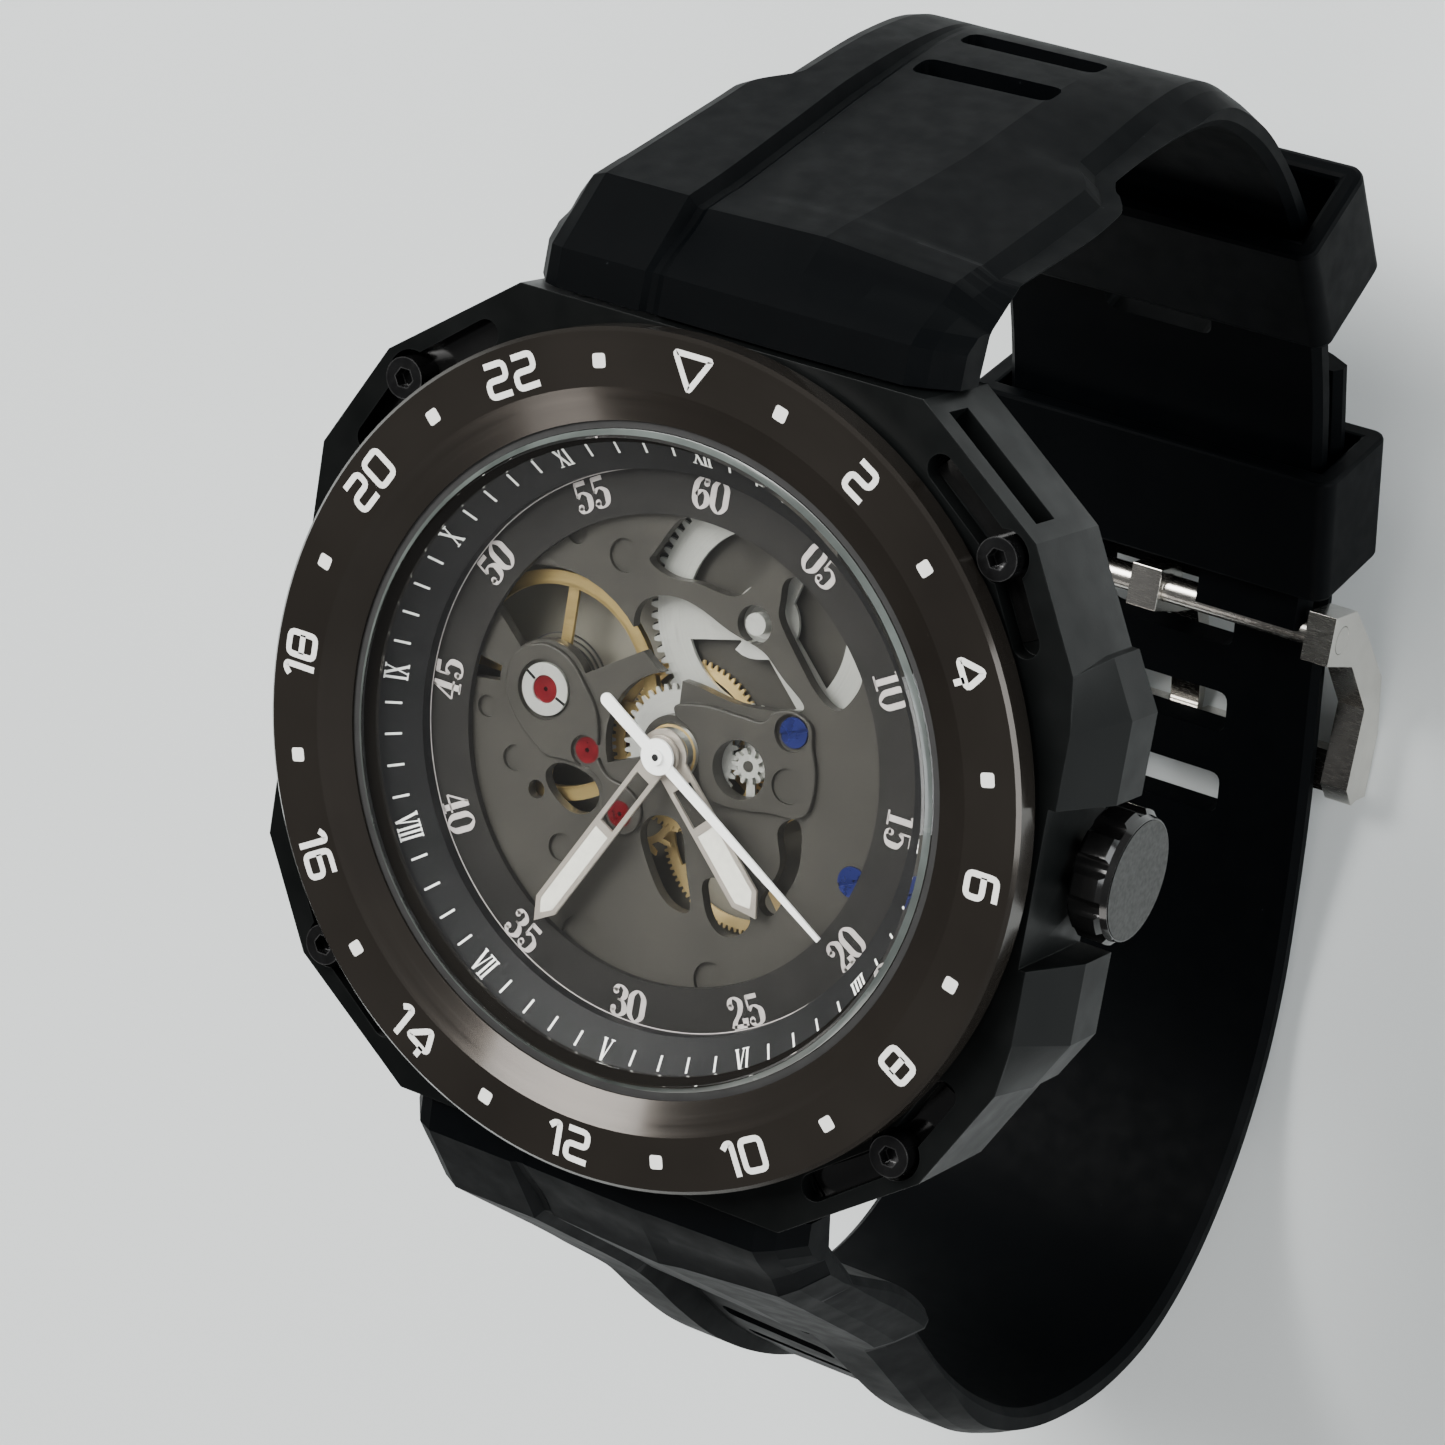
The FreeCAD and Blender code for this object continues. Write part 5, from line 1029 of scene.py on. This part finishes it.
CENTRE_BRIDGE = (
    (-0.1, 2.55), (1.6, 3.0), (3.4, 3.05), (4.9, 3.1), (5.6, 3.85), (6.6, 4.15), (7.7, 3.7), (8.0, 2.6),
    (8.45, 1.2), (8.4, -0.6), (7.6, -1.3), (6.2, -1.45), (4.6, -1.75), (3.4, -1.85), (2.3, -1.6), (1.7, -0.2),
    (1.65, 0.4), (1.2, 1.3), (0.3, 1.75), (-0.1, 2.0),
)
BRIDGE_HOLES = ((6.7, 3.02, 1.0), (4.07, 0.28, 1.55))
BRIDGE_DISC, BRIDGE_DISC_FLOOR = (6.98, 0.28, 0.93), 7.22
HOLE_LOW, HOLE_HIGH = 6, 9
CROWN_END, CROWN_HEIGHT = 24.93, 3.7
GROOVE_ROUTE, GROOVE_WIDTH = ((13.1, 19.1), (13.4, 18.9), (17.2, 16.0), (19.5, 11.8)), 1.44


def hole(place, low):
    """A round cutter from a height up through everything above it."""
    return slab("hole", round_outline(*place), low, HOLE_HIGH, 0)


def make_plate(looks):
    """The skeleton plate with its sunk discs, and the raised bridges on it."""
    source = frame["nodes"]["skeleton_plate"].data.copy()
    floor, above = PLATE_TOP - PLATE_SINK, PLATE_TOP + 1
    sinks = [slab("sink", round_outline(*disc), floor, above, 0) for disc in SUNK_DISCS]
    plate = pierced("skeleton_plate_sunk", source, sinks)
    cock = slab("balance_cock", curve(BALANCE_COCK, 6, True), PLATE_TOP - 0.02, PLATE_TOP + 0.26)
    cock = pierced("balance_cock", cock, [hole(place, HOLE_LOW) for place in COCK_HOLES])
    bridge = slab("centre_bridge", curve(CENTRE_BRIDGE, 6, True), PLATE_TOP - 0.02, PLATE_TOP + 0.3)
    holes = [hole(place, HOLE_LOW) for place in BRIDGE_HOLES] + [hole(BRIDGE_DISC, BRIDGE_DISC_FLOOR)]
    bridge = pierced("centre_bridge", bridge, holes)
    for name, mesh, stands_for in (
        ("skeleton_plate_sunk", plate, ["skeleton_plate"]),
        ("balance_cock", cock, ()),
        ("centre_bridge", bridge, ()),
    ):
        smooth(mesh, SHADE_ANGLE)
        piece(name, mesh, "case", looks["bridge_taupe"], stands_for)


def make_details(looks):
    """Slots of the balance setting, hub pin, gilt rings, crown cap, groove floors, and an opaque ring at the
    crystal's edge carrying a painted reflection.
    """
    slots = Marks(lambda r: 7.315)
    x, y = BALANCE_AXIS
    for start in (150, -20):
        turned = math.radians(start)
        spots = [(r * math.cos(turned) + x, r * math.sin(turned) + y) for r in (0.78, 1.4)]
        slots.ribbon(spots, [0.15, 0.15], flat_place)
    piece("setting_slots", slots.mesh("setting_slots"), "case", looks["black_gloss"])
    pin = slab("hub_pin", round_outline(0, 0, 0.19, 20), 8.86, 8.9, 0.01)
    piece("hub_pin", pin, "fourth", looks["black_gloss"])
    for i, (inner, outer) in enumerate(((0.88, 1.0), (1.32, 1.46))):
        piece(f"gilt_ring_{i}", flat_ring(f"gilt_ring_{i}", inner, outer, 7.3), "case", looks["gilt"])
    rim_of_cap = [(CROWN_END, y, CROWN_HEIGHT + z) for y, z in round_outline(0, 0, 3.12, 56)]
    cap = new_mesh("crown_cap", rim_of_cap, [tuple(range(len(rim_of_cap)))])
    piece("crown_cap", cap, "crown_turner", looks["crown_disc"])
    floors = Marks(lambda r: 8.9)
    for sx, sy in ((1, 1), (-1, 1), (-1, -1), (1, -1)):
        path = curve([(x * sx, y * sy) for x, y in GROOVE_ROUTE], 5)
        floors.ribbon(path, [GROOVE_WIDTH] * len(path), flat_place)
    piece("groove_floors", floors.mesh("groove_floors"), "case", looks["black_gloss"])
    # An opaque ring on the crystal's edge that carries a painted reflection of the light in the glass edge.
    rim = turned_ring("crystal_edge_glint", [(16.74, 11.5), (16.98, 11.26), (17.02, 11.24)])
    piece("crystal_edge_glint", rim, "case", looks["crystal_edge_glint"])


# Each CAD node that is shown with eased edges: its body, the edge's width in mm, and its look.
SOFTENED = (
    ("keeper_free", "keeper_loop", 0.35, "silicone"), ("keeper_fixed", "case", 0.35, "silicone"),
    ("buckle_frame", "buckle", 0.22, "buckle_steel"), ("buckle_tang", "tang", 0.15, "buckle_steel"),
    ("case_body", "case", 0.10, "case_black"),
)


def make_softened(looks):
    """CAD pieces shown with their edges rounded off as moulding and polishing leave them."""
    for node, body, width, look in SOFTENED:
        name = node + "_rounded"
        piece(name, softened(name, node, width), body, looks[look], [node])


# -------------------- the whole scene

# Nodes whose look isn't the one of their material slot.
SPECIAL = {
    "ratchet_wheel": "ratchet_steel", "third_wheel": "gilt_painted_lighter", "balance_wheel": "gilt_balance",
    "mainspring_barrel": "bridge_taupe", "main_plate": "under_plate_painted_light", "train_bridge": "bridge_taupe",
    "bezel_screws": "screw_head", "crown": "black_gloss", "hairspring": "gunmetal",
    "escape_wheel": "gilt_painted_lighter",
}
FLOOR_HALF, FLOOR_HEIGHT = 900, -56.75


def paint_nodes(looks):
    """A procedural look for every CAD node."""
    slots = {row["node"]: row["material_slot"] for row in frame["record"]["subparts"]}
    for name, thing in frame["nodes"].items():
        look = looks[SPECIAL.get(name, slots[name])]
        for spot in thing.material_slots:
            spot.link = "OBJECT"
            spot.material = look
        if not thing.material_slots:
            thing.data.materials.append(look)


def make_floor(looks):
    """The pale floor that the strap stands on, just below its lowest point."""
    corners = [(x * FLOOR_HALF, y * FLOOR_HALF, FLOOR_HEIGHT) for x, y in SQUARE]
    mesh = new_mesh("floor", corners, [(0, 1, 2, 3)])
    mesh.materials.append(looks["floor"])
    ground = bpy.data.objects.new("floor", mesh)
    bpy.context.scene.collection.objects.link(ground)


def make_scene():
    make_camera()
    make_lights()
    looks = make_looks()
    paint_nodes(looks)
    make_bezel_marks(looks)
    make_chapter_marks(looks)
    make_dial_marks(looks)
    make_strap(looks)
    make_softened(looks)
    make_plate(looks)
    make_details(looks)
    make_floor(looks)


make_scene()
